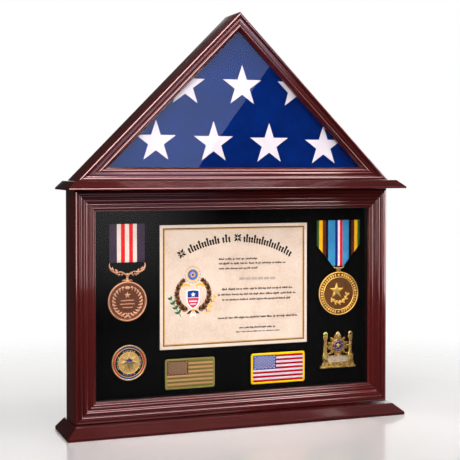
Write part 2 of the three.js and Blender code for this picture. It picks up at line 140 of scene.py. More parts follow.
def area(name, loc, aim, sx, sy, power, color=(1, 1, 1), glossy=True):
    d = bpy.data.lights.new(name, "AREA")
    d.shape, d.size, d.size_y, d.energy, d.color = "RECTANGLE", sx, sy, power, color
    o = bpy.data.objects.new(name, d)
    o.location = loc
    o.rotation_euler = (Vector(aim) - Vector(loc)).to_track_quat("-Z", "Y").to_euler()
    o.visible_camera = False
    o.visible_glossy = glossy
    scene.collection.objects.link(o)
    return o


area("key_soft", (-1.9, -2.5, 1.7), (0, 0, 0.35), 1.3, 1.3, 28)
area("top_soft", (0.1, -0.75, 2.1), (0, -0.02, 0.4), 1.9, 0.55, 14, (1, 0.97, 0.95), False)
area("right_strip", (2.1, -0.75, 0.95), (0.1, 0, 0.45), 0.35, 1.5, 11, (1, 0.96, 0.95))
area("left_strip", (-1.75, -0.75, 0.75), (-0.2, 0, 0.3), 0.22, 1.3, 5, (1, 0.96, 0.95))
area("back_soft", (0.6, 2.3, 1.9), (0, 0.06, 0.4), 1.6, 1.0, 34, glossy=False)
area("floor_wash", (0.0, 0.1, 2.6), (0, 0.1, 0), 2.6, 2.2, 15, glossy=False)


# ================================================================= mesh helpers
class Shape:
    """A growing list of closed bodies in millimetres, each with its material."""

    def __init__(self):
        self.v, self.f, self.m = [], [], []

    def add(self, vf, mat=0):
        v, f = vf
        o = len(self.v)
        self.v += [tuple(map(float, p)) for p in v]
        self.f += [tuple(i + o for i in q) for q in f]
        self.m += list(mat) if hasattr(mat, "__len__") else [mat] * len(f)
        return self


def build(name, shape, mats, body, nodes=(), angle=35, closed=True, merge=True, bevel=0.0, bevel_angle=30, seg=2):
    me = bpy.data.meshes.new(name)
    me.from_pydata([(x * MM, y * MM, z * MM) for x, y, z in shape.v], [], shape.f)
    for m in mats:
        me.materials.append(m)
    me.polygons.foreach_set("material_index", shape.m)
    bm = bmesh.new()
    bm.from_mesh(me)
    if merge:
        bmesh.ops.remove_doubles(bm, verts=bm.verts, dist=2e-7)
    dead = [f for f in bm.faces if f.calc_area() < 1e-14]
    if dead:
        bmesh.ops.delete(bm, geom=dead, context="FACES_ONLY")
    if closed:
        bmesh.ops.recalc_face_normals(bm, faces=bm.faces)
    if bevel:
        lim = math.radians(bevel_angle)
        edges = [e for e in bm.edges if len(e.link_faces) == 2 and e.calc_face_angle() > lim]
        bmesh.ops.bevel(bm, geom=edges, offset=bevel * MM, segments=seg, profile=0.5, affect="EDGES", clamp_overlap=True)
    big = [f for f in bm.faces if len(f.verts) > 4]
    if big:
        bmesh.ops.triangulate(bm, faces=big, quad_method="BEAUTY", ngon_method="EAR_CLIP")
    lim = math.radians(angle)
    for f in bm.faces:
        f.smooth = True
    for e in bm.edges:
        e.smooth = not (len(e.link_faces) == 2 and e.calc_face_angle() > lim)
    bm.to_mesh(me)
    bm.free()
    me.update()
    o = bpy.data.objects.new(name, me)
    scene.collection.objects.link(o)
    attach(o, body)
    if nodes:
        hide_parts(*nodes)
    return o


def loft(rings, cap0=True, cap1=True, wrap=True, torus=False):
    n = len(rings[0])
    v = [p for r in rings for p in r]
    f = []
    m = len(rings)
    for i in range(m if torus else m - 1):
        k = ((i + 1) % m) * n
        for j in range(n if wrap else n - 1):
            a, b = j, (j + 1) % n
            f.append((i * n + a, i * n + b, k + b, k + a))
    if not torus:
        if cap0:
            f.append(tuple(range(n))[::-1])
        if cap1:
            f.append(tuple(range((m - 1) * n, m * n)))
    return v, f


def inset(poly, d):
    """The outline moved inwards by d (outwards when d is negative)."""
    n = len(poly)
    area2 = sum(poly[i][0] * poly[(i + 1) % n][1] - poly[(i + 1) % n][0] * poly[i][1] for i in range(n))
    s = 1 if area2 > 0 else -1
    out = []
    for i in range(n):
        (ax, az), (bx, bz), (cx, cz) = poly[i - 1], poly[i], poly[(i + 1) % n]
        l1 = hypot(bx - ax, bz - az) or 1e-9
        l2 = hypot(cx - bx, cz - bz) or 1e-9
        n1 = (-(bz - az) / l1 * s, (bx - ax) / l1 * s)
        n2 = (-(cz - bz) / l2 * s, (cx - bx) / l2 * s)
        mx, mz = n1[0] + n2[0], n1[1] + n2[1]
        q = mx * mx + mz * mz
        k = 2 / q if q > 0.35 else 2 / 0.35
        out.append((bx + mx * k * d, bz + mz * k * d))
    return out


def plate(poly, y0, y1, edge=0.0, back_edge=0.0, rounds=2):
    """A plate drawn in X-Z; its front face is at y0, its back at y1."""
    rings = []
    if back_edge:
        rings.append([(x, y1, z) for x, z in inset(poly, back_edge)])
        rings.append([(x, y1 - back_edge, z) for x, z in poly])
    else:
        rings.append([(x, y1, z) for x, z in poly])
    if edge:
        for i in range(rounds + 1):
            a = pi / 2 * i / rounds
            rings.append([(x, y0 + edge * (1 - sin(a)), z) for x, z in inset(poly, edge * (1 - cos(a)))])
    else:
        rings.append([(x, y0, z) for x, z in poly])
    return loft(rings)


def box(x0, x1, y0, y1, z0, z1):
    return loft([[(x0, y0, z), (x1, y0, z), (x1, y1, z), (x0, y1, z)] for z in (z0, z1)])


def circle(cx, cz, r, n, a0=0.0):
    return [(cx + r * cos(a0 + 2 * pi * i / n), cz + r * sin(a0 + 2 * pi * i / n)) for i in range(n)]


def rrect(x0, x1, z0, z1, r, n=4):
    out = []
    for cx, cz, a0 in ((x1 - r, z1 - r, 0), (x0 + r, z1 - r, 90), (x0 + r, z0 + r, 180), (x1 - r, z0 + r, 270)):
        for i in range(n + 1):
            a = math.radians(a0 + 90 * i / n)
            out.append((cx + r * cos(a), cz + r * sin(a)))
    return out


def star(cx, cz, r, inner=0.382, points=5, a0=pi / 2):
    return [(cx + r * (1 if i % 2 == 0 else inner) * cos(a0 + pi * i / points),
             cz + r * (1 if i % 2 == 0 else inner) * sin(a0 + pi * i / points)) for i in range(2 * points)]


def turned(profile, n, cx, cz, axis="y"):
    """A turned body about a line along Y (or Z): profile [(radius, height)]."""
    rings = []
    for r, h in profile:
        rings.append([(cx + r * cos(2 * pi * i / n), h, cz + r * sin(2 * pi * i / n)) if axis == "y"
                      else (cx + r * cos(2 * pi * i / n), cz + r * sin(2 * pi * i / n), h) for i in range(n)])
    return loft(rings, cap0=profile[0][0] > 1e-6, cap1=profile[-1][0] > 1e-6)


def ball(c, rx, ry, rz, n=14, m=8):
    rings = []
    for i in range(m + 1):
        a = -pi / 2 + pi * i / m
        rings.append([(c[0] + rx * cos(a) * cos(2 * pi * j / n), c[1] + ry * cos(a) * sin(2 * pi * j / n), c[2] + rz * sin(a)) for j in range(n)])
    return loft(rings, False, False)


def tube(path, r, n=10, taper=None, caps=True):
    """A round bar along a path of (x, y, z); taper gives a radius at each point."""
    P = [Vector(p) for p in path]
    rings = []
    up = Vector((0, 1, 0))
    for i, p in enumerate(P):
        t = (P[min(i + 1, len(P) - 1)] - P[max(i - 1, 0)]).normalized()
        a = t.cross(up)
        if a.length < 1e-4:
            a = t.cross(Vector((1, 0, 0)))
        a.normalize()
        b = t.cross(a).normalized()
        q = r if taper is None else taper[i]
        rings.append([tuple(p + (a * cos(2 * pi * j / n) + b * sin(2 * pi * j / n)) * q) for j in range(n)])
    return loft(rings, caps, caps)


def relief(cx, cz, R, yb, height, nr, nt, side=-1):
    """A disc whose face is a height field: height(x, z, r, a) in millimetres."""
    rr = np.concatenate([np.linspace(0, 1, nr + 1)[1:-1] * R, [R - 0.5, R - 0.15, R]])
    rr = np.sort(rr)
    th = np.linspace(0, 2 * pi, nt, endpoint=False)
    v = []
    g = np.meshgrid(rr, th, indexing="ij")
    X, Z = g[0] * np.cos(g[1]), g[0] * np.sin(g[1])
    H = height(X, Z, g[0], g[1])
    H[-1] -= 0.5
    H[-2] -= 0.15
    h0 = float(height(np.zeros((1, 1)), np.zeros((1, 1)), np.zeros((1, 1)), np.zeros((1, 1)))[0, 0])
    for i in range(len(rr)):
        for j in range(nt):
            v.append((cx + X[i, j], yb + side * H[i, j], cz + Z[i, j]))
    c = len(v)
    v.append((cx, yb + side * h0, cz))
    b = len(v)
    for j in range(nt):
        v.append((cx + (R - 0.3) * cos(th[j]), yb, cz + (R - 0.3) * sin(th[j])))
    m = len(v)
    v.append((cx, yb, cz))
    f, hh = [], []
    for j in range(nt):
        k = (j + 1) % nt
        f.append((c, j, k))
        hh.append(h0)
    for i in range(len(rr) - 1):
        for j in range(nt):
            k = (j + 1) % nt
            f.append((i * nt + j, (i + 1) * nt + j, (i + 1) * nt + k, i * nt + k))
            hh.append(float((H[i, j] + H[i, k] + H[i + 1, j] + H[i + 1, k]) / 4))
    o = (len(rr) - 1) * nt
    for j in range(nt):
        k = (j + 1) % nt
        f.append((o + j, b + j, b + k, o + k))
        hh.append(9.0)
        f.append((b + j, m, b + k))
        hh.append(9.0)
    return (v, f), hh, H


def clip(poly, hull):
    """poly kept inside a convex hull given anticlockwise."""
    out = list(poly)
    n = len(hull)
    for i in range(n):
        (ax, az), (bx, bz) = hull[i], hull[(i + 1) % n]
        src, out = out, []
        for j in range(len(src)):
            p, q = src[j - 1], src[j]
            sp = (bx - ax) * (p[1] - az) - (bz - az) * (p[0] - ax)
            sq = (bx - ax) * (q[1] - az) - (bz - az) * (q[0] - ax)
            if (sp >= 0) != (sq >= 0):
                t = sp / (sp - sq)
                out.append((p[0] + (q[0] - p[0]) * t, p[1] + (q[1] - p[1]) * t))
            if sq >= 0:
                out.append(q)
        if not out:
            return []
    return out


# ==================================================================== materials
def material(name, base=(0.5, 0.5, 0.5), rough=0.5, metal=0.0, **sockets):
    m = bpy.data.materials.new(name)
    m.use_nodes = True
    nt = m.node_tree
    nt.nodes.clear()
    out = nt.nodes.new("ShaderNodeOutputMaterial")
    p = nt.nodes.new("ShaderNodeBsdfPrincipled")
    nt.links.new(p.outputs[0], out.inputs[0])
    p.inputs["Base Color"].default_value = (*base, 1)
    p.inputs["Roughness"].default_value = rough
    p.inputs["Metallic"].default_value = metal
    for k, v in sockets.items():
        s = p.inputs[k.replace("_", " ")]
        s.default_value = (*v, 1) if hasattr(v, "__len__") and len(v) == 3 and s.type == "RGBA" else v
    return m, nt, p


def coords(nt, scale=(1, 1, 1), turn=0.0, turn_z=0.0):
    c = node(nt, "TexCoord").outputs["Object"]
    if turn or turn_z:
        c = node(nt, "Mapping", {"Vector": c, "Rotation": (0, turn, turn_z)}).outputs[0]
    return node(nt, "Mapping", {"Vector": c, "Scale": scale}).outputs[0]


def noise(nt, vec, scale=1.0, detail=2.0, rough=0.5, distort=0.0):
    return node(nt, "TexNoise", {"Vector": vec, "Scale": scale, "Detail": detail, "Roughness": rough, "Distortion": distort}).outputs[0]


def bump(nt, p, height, strength, dist=0.001, normal=None, coat=False):
    ins = {"Height": height, "Strength": strength, "Distance": dist}
    if normal is not None:
        ins["Normal"] = normal
    b = node(nt, "Bump", ins).outputs[0]
    nt.links.new(b, p.inputs["Normal"])
    if coat:
        nt.links.new(b, p.inputs["Coat Normal"])
    return b


def wood(name, turn=0.0, turn_z=0.0, dark=(0.042, 0.0032, 0.0034), mid=(0.086, 0.0062, 0.0062), light=(0.125, 0.0105, 0.0098), shift=0.0):
    m, nt, p = material(name, rough=0.34, Coat_Weight=1.0, Coat_Roughness=0.08, Coat_IOR=1.55,
                        Specular_IOR_Level=0.3, Specular_Tint=(1.0, 0.25, 0.24))
    c = coords(nt, (1.6, 26, 26), turn, turn_z)
    c = node(nt, "Mapping", {"Vector": c, "Location": (shift, shift * 3.1, shift * 1.7)}).outputs[0]
    broad = noise(nt, c, 1.0, 4, 0.5, 0.8)
    streak = noise(nt, coords(nt, (7, 420, 420), turn, turn_z), 1.0, 4, 0.6, 0.25)
    pores = noise(nt, coords(nt, (70, 1700, 1700), turn, turn_z), 1.0, 2, 0.5)
    tone = math_(nt, "ADD", math_(nt, "MULTIPLY", broad, 0.7), math_(nt, "MULTIPLY", streak, 0.3))
    col = ramp(nt, tone, [(0.28, dark), (0.48, mid), (0.70, light)])
    pore = ramp(nt, pores, [(0.34, 0.78), (0.43, 1.0)])
    col = mixc(nt, 1.0, col, pore, "MULTIPLY")
    nt.links.new(col, p.inputs["Base Color"])
    nt.links.new(rng(nt, streak, 0.3, 0.7, 0.31, 0.36), p.inputs["Roughness"])
    h = math_(nt, "ADD", math_(nt, "MULTIPLY", streak, 0.6), math_(nt, "MULTIPLY", pore, 0.4))
    bump(nt, p, h, 0.018, 0.0005)
    return m


def metal(name, high, low, rough=0.28, hi=0.0, scale=900, patina=0.5, aniso=0.0):
    m, nt, p = material(name, rough=rough, metal=1.0)
    a = noise(nt, coords(nt), scale * 0.12, 4, 0.6)
    b = noise(nt, coords(nt), scale, 3, 0.6)
    fac = math_(nt, "ADD", math_(nt, "MULTIPLY", a, 0.6), math_(nt, "MULTIPLY", b, 0.4))
    col = ramp(nt, fac, [(0.34, tuple(h * (1 - patina) + l * patina for h, l in zip(high, low))), (0.56, high)])
    nt.links.new(col, p.inputs["Base Color"])
    nt.links.new(rng(nt, fac, 0.3, 0.7, rough + 0.12, max(0.05, rough - 0.06)), p.inputs["Roughness"])
    bump(nt, p, b, 0.12, 0.0002)
    return m


def relief_metal(name, high, mid, low, lo_h, hi_h, rough=0.3):
    """Struck metal: polished on its high points, toned in its hollows, by depth."""
    m, nt, p = material(name, rough=rough, metal=1.0)
    y = node(nt, "SeparateXYZ", {"Vector": node(nt, "TexCoord").outputs["Object"]}).outputs["Y"]
    h = rng(nt, y, (B0 - lo_h) * MM, (B0 - hi_h) * MM, 0.0, 1.0)
    g = noise(nt, coords(nt), 420, 4, 0.65)
    h2 = math_(nt, "ADD", h, math_(nt, "MULTIPLY", math_(nt, "SUBTRACT", g, 0.5), 0.5))
    col = ramp(nt, h2, [(0.05, low), (0.45, mid), (0.85, high)])
    nt.links.new(col, p.inputs["Base Color"])
    nt.links.new(rng(nt, h2, 0.0, 1.0, rough + 0.2, rough - 0.08), p.inputs["Roughness"])
    bump(nt, p, noise(nt, coords(nt), 2600, 3, 0.6), 0.18, 0.0002)
    return m


def weave(name, color, dark=None, pitch=0.6, turn=0.0, rough=0.75, sheen=0.25, tint=(1, 1, 1), rib=None, strength=0.35, mottle=0.12):
    """Woven cloth: two crossing sets of threads, or ribs along one way."""
    dark = dark or tuple(c * 0.6 for c in color)
    m, nt, p = material(name, rough=rough, Sheen_Weight=sheen, Sheen_Roughness=0.4, Sheen_Tint=tint, Specular_IOR_Level=0.0)
    c = coords(nt, turn=turn)
    k = 2 * pi * 1000.0 / (20.0 * pitch)
    wx = node(nt, "TexWave", {"Vector": c, "Scale": k, "Distortion": 0.6, "Detail": 1.0, "Detail Scale": 2.0}, wave_type="BANDS", bands_direction="X").outputs["Fac"]
    wz = node(nt, "TexWave", {"Vector": c, "Scale": k if rib is None else 2 * pi * 1000.0 / (20.0 * rib), "Distortion": 0.6 if rib is None else 0.15, "Detail": 1.0, "Detail Scale": 2.0}, wave_type="BANDS", bands_direction="Z").outputs["Fac"]
    if rib is None:
        t = math_(nt, "ADD", math_(nt, "MULTIPLY", wx, 0.5), math_(nt, "MULTIPLY", wz, 0.5))
    else:
        t = math_(nt, "ADD", math_(nt, "MULTIPLY", wx, 0.2), math_(nt, "MULTIPLY", wz, 0.8))
    col = ramp(nt, t, [(0.15, dark), (0.6, color)])
    big = noise(nt, coords(nt), 26, 3, 0.55)
    col = mixc(nt, mottle, col, ramp(nt, big, [(0.3, 0.0), (0.7, 1.0)]), "SOFT_LIGHT")
    nt.links.new(col, p.inputs["Base Color"])
    nt.links.new(rng(nt, t, 0.0, 1.0, min(1.0, rough + 0.12), rough - 0.08), p.inputs["Roughness"])
    bump(nt, p, t, strength, 0.0003)
    return m


def satin_stitch(name, color, pitch=0.7, along="X", rough=0.5, dark=None):
    """Embroidery thread: fine parallel satin stitches with a soft gloss."""
    dark = dark or tuple(c * 0.5 for c in color)
    m, nt, p = material(name, rough=rough, Sheen_Weight=0.02, Sheen_Roughness=0.4, Specular_IOR_Level=0.0)
    c = coords(nt)
    w = node(nt, "TexWave", {"Vector": c, "Scale": 2 * pi * 1000.0 / (20.0 * pitch), "Distortion": 1.2, "Detail": 2.0, "Detail Scale": 3.0}, wave_type="BANDS", bands_direction=along).outputs["Fac"]
    n2 = noise(nt, coords(nt), 500, 3, 0.6)
    t = math_(nt, "ADD", math_(nt, "MULTIPLY", w, 0.7), math_(nt, "MULTIPLY", n2, 0.3))
    nt.links.new(ramp(nt, t, [(0.15, dark), (0.55, color)]), p.inputs["Base Color"])
    nt.links.new(rng(nt, t, 0.0, 1.0, rough + 0.15, rough - 0.1), p.inputs["Roughness"])
    bump(nt, p, t, 0.5, 0.0003)
    return m


def ink(name, color, rough=0.6):
    m, nt, p = material(name, rough=rough, Specular_IOR_Level=0.0)
    g = noise(nt, coords(nt), 1500, 3, 0.6)
    nt.links.new(ramp(nt, g, [(0.3, tuple(c * 0.75 for c in color)), (0.7, tuple(min(1, c * 1.25) for c in color))]), p.inputs["Base Color"])
    nt.links.new(rng(nt, g, 0.3, 0.7, rough - 0.1, rough + 0.1), p.inputs["Roughness"])
    bump(nt, p, g, 0.1, 0.0001)
    return m


def enamel(name, color, rough=0.12):
    m, nt, p = material(name, rough=rough, Coat_Weight=0.8, Coat_Roughness=0.04)
    g = noise(nt, coords(nt), 700, 3, 0.6)
    nt.links.new(ramp(nt, g, [(0.3, tuple(c * 0.6 for c in color)), (0.7, tuple(min(1, c * 1.2) for c in color))]), p.inputs["Base Color"])
    nt.links.new(rng(nt, g, 0.3, 0.7, rough, rough + 0.12), p.inputs["Roughness"])
    return m


B0 = 12.7  # plane just in front of the display board
W_X = wood("mahogany_along_x")
W_LEDGE = wood("mahogany_ledge", shift=3.7)
W_BASE = wood("mahogany_base", shift=8.1, dark=(0.030, 0.0030, 0.0032), mid=(0.060, 0.0052, 0.0054), light=(0.088, 0.0085, 0.0080))
W_Z = wood("mahogany_upright", turn=pi / 2, shift=1.9)
W_END = wood("mahogany_end_grain", turn_z=pi / 2, shift=5.0, dark=(0.022, 0.003, 0.003), mid=(0.042, 0.0048, 0.0046), light=(0.06, 0.0075, 0.007))

# clear glass with a faintly greenish body
GLASS, nt, p = material("clear_glass", base=(0.985, 0.995, 0.99), rough=0.0, Transmission_Weight=1.0, IOR=1.5)
nt.links.new(ramp(nt, noise(nt, coords(nt), 60, 5, 0.7), [(0.3, (0.97, 0.985, 0.98)), (0.7, (0.992, 0.998, 0.995))]), p.inputs["Base Color"])

# black display felt
FELT, nt, p = material("black_felt", rough=0.97, Specular_IOR_Level=0.0)
g1, g2 = noise(nt, coords(nt), 1100, 4, 0.7), noise(nt, coords(nt, (1, 1, 0.6)), 30, 4, 0.6)
t = math_(nt, "ADD", math_(nt, "MULTIPLY", g1, 0.5), math_(nt, "MULTIPLY", g2, 0.5))
nt.links.new(ramp(nt, t, [(0.3, (0.0016, 0.0016, 0.0017)), (0.7, (0.0036, 0.0036, 0.0038))]), p.inputs["Base Color"])
nt.links.new(rng(nt, g1, 0.3, 0.7, 0.92, 1.0), p.inputs["Roughness"])
bump(nt, p, g1, 0.12, 0.0004)

# hardboard backs: brown pressed fibre, satin stained
PANEL, nt, p = material("pressed_panel", rough=0.62)
g1, g2 = noise(nt, coords(nt, (1, 1, 1)), 1100, 5, 0.7), noise(nt, coords(nt, (1, 1, 0.35)), 22, 4, 0.6)
t = math_(nt, "ADD", math_(nt, "MULTIPLY", g1, 0.55), math_(nt, "MULTIPLY", g2, 0.45))
nt.links.new(ramp(nt, t, [(0.3, (0.012, 0.0065, 0.005)), (0.5, (0.026, 0.013, 0.0095)), (0.72, (0.045, 0.024, 0.017))]), p.inputs["Base Color"])
nt.links.new(rng(nt, g1, 0.3, 0.7, 0.5, 0.75), p.inputs["Roughness"])
bump(nt, p, g1, 0.35, 0.0005)

# beech battens and dowels
def beech(name, turn=0.0, turn_y=0.0):
    m, nt, p = material(name, rough=0.55)
    s = noise(nt, coords(nt, (7, 190, 190), turn), 1.0, 4, 0.6, 0.3)
    fl = noise(nt, coords(nt, (120, 700, 700), turn), 1.0, 2, 0.5)
    col = ramp(nt, s, [(0.3, (0.36, 0.19, 0.09)), (0.5, (0.5, 0.29, 0.15)), (0.7, (0.62, 0.39, 0.22))])
    col = mixc(nt, 1.0, col, ramp(nt, fl, [(0.33, 0.68), (0.42, 1.0)]), "MULTIPLY")
    nt.links.new(col, p.inputs["Base Color"])
    nt.links.new(rng(nt, s, 0.3, 0.7, 0.48, 0.66), p.inputs["Roughness"])
    bump(nt, p, fl, 0.25, 0.0003)
    return m


BEECH = beech("beech_upright", pi / 2)
STEEL = metal("zinc_steel", (0.62, 0.62, 0.60), (0.30, 0.30, 0.29), 0.3)
BRASS = metal("brass_plate", (0.72, 0.48, 0.17), (0.30, 0.17, 0.05), 0.27, patina=0.4)

# ============================================================== case: mouldings
GAP = 0.3
BASE_T, BASE_HALF_W, BASE_FRONT, BASE_BACK, BASE_FS, BASE_FF = 21.8, 337.2, -38.7, 65.3, 17.5, 18.9
LEDGE_Z, LEDGE_T, LEDGE_HALF_W, LEDGE_FRONT, LEDGE_BACK, LEDGE_FS, LEDGE_FF = 472.2, 16.9, 339.0, -49.7, 65.3, 14.4, 15.6
BOX_HALF_W, BOX_Z0, BOX_Z1, BOX_FRONT, BOX_BACK = 333.0, 22.1, 471.9, -21.3, 60.3
BOX_MOULD_W, BOX_WALL, BOX_LIP_BACK, BOX_SHELF_Y, BOX_EDGE = 41, 20, -8.8, 54.8, 10
TRI_A, TRI_H, TRI_Z0, TRI_FRONT, TRI_BACK = 330.0, 334.7, 489.4, -29.7, 58.8
TRI_MOULD_W, TRI_WALL, TRI_LIP_BACK, TRI_SHELF_Y, TRI_EDGE = 25.5, 18, -17.7, 53.3, 10
TRI_SIDE = hypot(TRI_A, TRI_H)
TRI_R = TRI_A * TRI_H / (TRI_A + TRI_SIDE)
RX, RZ = TRI_A / TRI_SIDE, TRI_H / TRI_SIDE
W_RL = wood("mahogany_left_rafter", turn=math.atan2(TRI_H, TRI_A), shift=6.3)
W_RR = wood("mahogany_right_rafter", turn=-math.atan2(TRI_H, TRI_A), shift=2.6)


def bead(u0, u1, d, top, n=14):
    c, r = (u0 + u1) / 2, (u1 - u0) / 2
    return [(c - r * cos(pi * i / n), d - (d - top) * sin(pi * i / n)) for i in range(n + 1)]


def soften(pts, r=0.28):
    """Each sharp turn of an open profile eased by a small three-point round."""
    out = [pts[0]]
    for i in range(1, len(pts) - 1):
        a, b, c = Vector(pts[i - 1]), Vector(pts[i]), Vector(pts[i + 1])
        d1, d2 = a - b, c - b
        if d1.length < 1e-6 or d2.length < 1e-6:
            continue
        turn = math.degrees(d1.angle(d2))
        if turn < 158:
            q = min(r, d1.length * 0.42, d2.length * 0.42)
            p0, p2 = b + d1.normalized() * q, b + d2.normalized() * q
            out += [tuple(p0), tuple((p0 + p2) * 0.25 + b * 0.5), tuple(p2)]
        else:
            out.append(tuple(b))
    out.append(pts[-1])
    return out


boxProfile = [(8.6 * (1 - cos(pi / 2 * i / 12)), 8.5 - 7.6 * sin(pi / 2 * i / 12)) for i in range(13)]
boxProfile += [(9.0, 1.9), *bead(9.2, 14.2, 1.7, 0.0), (14.5, 3.0), (17.2, 3.4), *bead(17.6, 24.0, 2.4, 0.4, 16),
               (24.3, 3.2), (25.3, 4.3), (26.8, 4.9), (28.3, 4.5), (29.4, 3.4), (30.2, 2.6), (31.2, 2.6), (31.8, 3.6), (32.6, 4.0),
               *bead(33.0, 37.4, 3.6, 2.2, 12), (37.8, 4.6), (38.8, 4.8), (39.2, 3.8), (40.0, 3.2), (40.7, 3.5), (BOX_MOULD_W, 4.2)]
triProfile = [*bead(0, 7.0, 3.4, 0.0, 16), (7.3, 4.9), (10.0, 5.1), (10.5, 3.0), (15.8, 3.8), (16.2, 4.8), (16.8, 4.8),
              *bead(17.0, 21.8, 3.6, 1.8, 12), (22.1, 4.6), (TRI_MOULD_W, 7.5)]


def section(profile, front, back, mould, wall, lip, shelf, edge):
    return ([(0, back)] + [(u, front + d) for u, d in soften(profile)]
            + [(mould, lip - 0.3), (mould - 0.3, lip), (wall, lip), (wall, shelf), (edge, shelf), (edge, back - 0.4), (edge - 0.4, back), (0.4, back)])


boxSection = section(boxProfile, BOX_FRONT, BOX_BACK, BOX_MOULD_W, BOX_WALL, BOX_LIP_BACK, BOX_SHELF_Y, BOX_EDGE)
boxSection[0] = (0, BOX_BACK - 0.4)
triSection = section(triProfile, TRI_FRONT, TRI_BACK, TRI_MOULD_W, TRI_WALL, TRI_LIP_BACK, TRI_SHELF_Y, TRI_EDGE)
triSection[0] = (0, TRI_BACK - 0.4)


def corner_tri(x, z):
    def at(u):
        k, cz = 1 - u / TRI_R, TRI_Z0 + TRI_R
        return x * k, cz + (z - cz) * k
    return at


def corner_box(sx, sz):
    return lambda u: (sx * (BOX_HALF_W - u), BOX_Z1 - u if sz > 0 else BOX_Z0 + u)


def along(c, dx, dz):
    return lambda u: (c(u)[0] + dx, c(u)[1] + dz)


tL, tR, tA = corner_tri(-TRI_A, TRI_Z0), corner_tri(TRI_A, TRI_Z0), corner_tri(0, TRI_Z0 + TRI_H)
cTL, cTR, cBL, cBR = corner_box(-1, 1), corner_box(1, 1), corner_box(-1, -1), corner_box(1, -1)
g45 = GAP / 2 / math.sqrt(0.5)
gFoot = GAP / 2 / sin(math.atan2(TRI_H, TRI_A) / 2)
gApex = GAP / 2 / sin(math.atan2(TRI_A, TRI_H))


def rail(name, sec, frm, to, mat):
    steps = 8
    rings = []
    for k in range(steps + 1):
        t = k / steps
        rings.append([(frm(u)[0] * (1 - t) + to(u)[0] * t, y, frm(u)[1] * (1 - t) + to(u)[1] * t) for u, y in sec])
    return build(name + "_moulded", Shape().add(loft(rings)), [mat], "case_frame", [name], angle=38)


rail("lower_top_rail", boxSection, along(cTL, g45, 0), along(cTR, -g45, 0), W_X)
rail("lower_bottom_rail", boxSection, along(cBL, g45, 0), along(cBR, -g45, 0), W_X)
rail("lower_left_stile", boxSection, along(cBL, 0, g45), along(cTL, 0, -g45), W_Z)
rail("lower_right_stile", boxSection, along(cBR, 0, g45), along(cTR, 0, -g45), W_Z)
rail("upper_left_rafter", triSection, along(tL, RX * gFoot, RZ * gFoot), along(tA, -RX * gApex, -RZ * gApex), W_RL)
rail("upper_right_rafter", triSection, along(tR, -RX * gFoot, RZ * gFoot), along(tA, RX * gApex, -RZ * gApex), W_RR)
rail("upper_bottom_rail", triSection, along(tL, gFoot, 0), along(tR, -gFoot, 0), W_LEDGE)


def board(name, half_w, front, back, fs, ff, rings, mat, holes=()):
    """A board bevelled at its front and ends: rings of (z, share of the flare)."""
    loops, e = [], 1.0
    for z, k in rings:
        X, F = half_w + fs * k, front - ff * k
        loop = []
        for cx, cy, a0, r in ((X, F, -90, e), (X, back, 0, 0.6), (-X, back, 90, 0.6), (-X, F, 180, e)):
            sx, sy = (1 if cx > 0 else -1), (1 if cy > 0 else -1)
            for i in range(4):
                a = math.radians(a0 + 90 * i / 3)
                loop.append((cx - sx * r + r * cos(a), cy - sy * r + r * sin(a), z))
        loops.append(loop)
    s = Shape().add(loft(loops))
    # the two sloped ends show the boards' ends, so their grain runs front to back
    fm = []
    n = len(loops[0])
    for i in range(len(loops) - 1):
        for j in range(n):
            fm.append(1 if (j in (2, 3, 4) or j in (10, 11, 12)) else 0)
    s.m = fm + [0, 0]
    o = build(name + "_bevelled", s, [mat, W_END], "case_frame", [name], angle=28)
    if holes:
        cut = Shape()
        for x, y in holes:
            cut.add(turned([(0, -1), (4.6, -1), (4.6, 0.4), (2.2, 3.6), (2.2, 20.5), (0, 20.5)], 24, x, y, axis="z"))
        me = bpy.data.meshes.new("hole_cutter")
        me.from_pydata([(a * MM, b * MM, c * MM) for a, b, c in cut.v], [], cut.f)
        bm = bmesh.new()
        bm.from_mesh(me)
        bmesh.ops.remove_doubles(bm, verts=bm.verts, dist=1e-7)
        bmesh.ops.recalc_face_normals(bm, faces=bm.faces)
        bm.to_mesh(me)
        bm.free()
        c = bpy.data.objects.new("hole_cutter", me)
        scene.collection.objects.link(c)
        mod = o.modifiers.new("holes", "BOOLEAN")
        mod.object, mod.operation, mod.solver = c, "DIFFERENCE", "EXACT"
        bpy.context.view_layer.update()
        done = bpy.data.meshes.new_from_object(o.evaluated_get(bpy.context.evaluated_depsgraph_get()))
        o.modifiers.clear()
        o.data = done
        bpy.data.objects.remove(c)
    return o


base_rings = [(0, 0.93), (0.5, 0.975), (1.4, 1), (5.2, 1), (6.3, 0.985), (7.4, 0.93), (8.6, 0.84), (20.3, 0.075), (21.0, 0.032), (21.5, 0.008), (BASE_T, -0.02)]
board("base_board", BASE_HALF_W, BASE_FRONT, BASE_BACK, BASE_FS, BASE_FF, base_rings, W_BASE, [(x, 21) for x in (-270, -90, 90, 270)])
ledge_rings = [(0, 0.95), (0.35, 0.985), (0.9, 1), (3.0, 1), (3.9, 0.97), (4.8, 0.9), (15.5, 0.09), (16.1, 0.045), (16.6, 0.012), (LEDGE_T, -0.02)]
board("ledge_board", LEDGE_HALF_W, LEDGE_FRONT, LEDGE_BACK, LEDGE_FS, LEDGE_FF, [(LEDGE_Z + z, k) for z, k in ledge_rings], W_LEDGE)

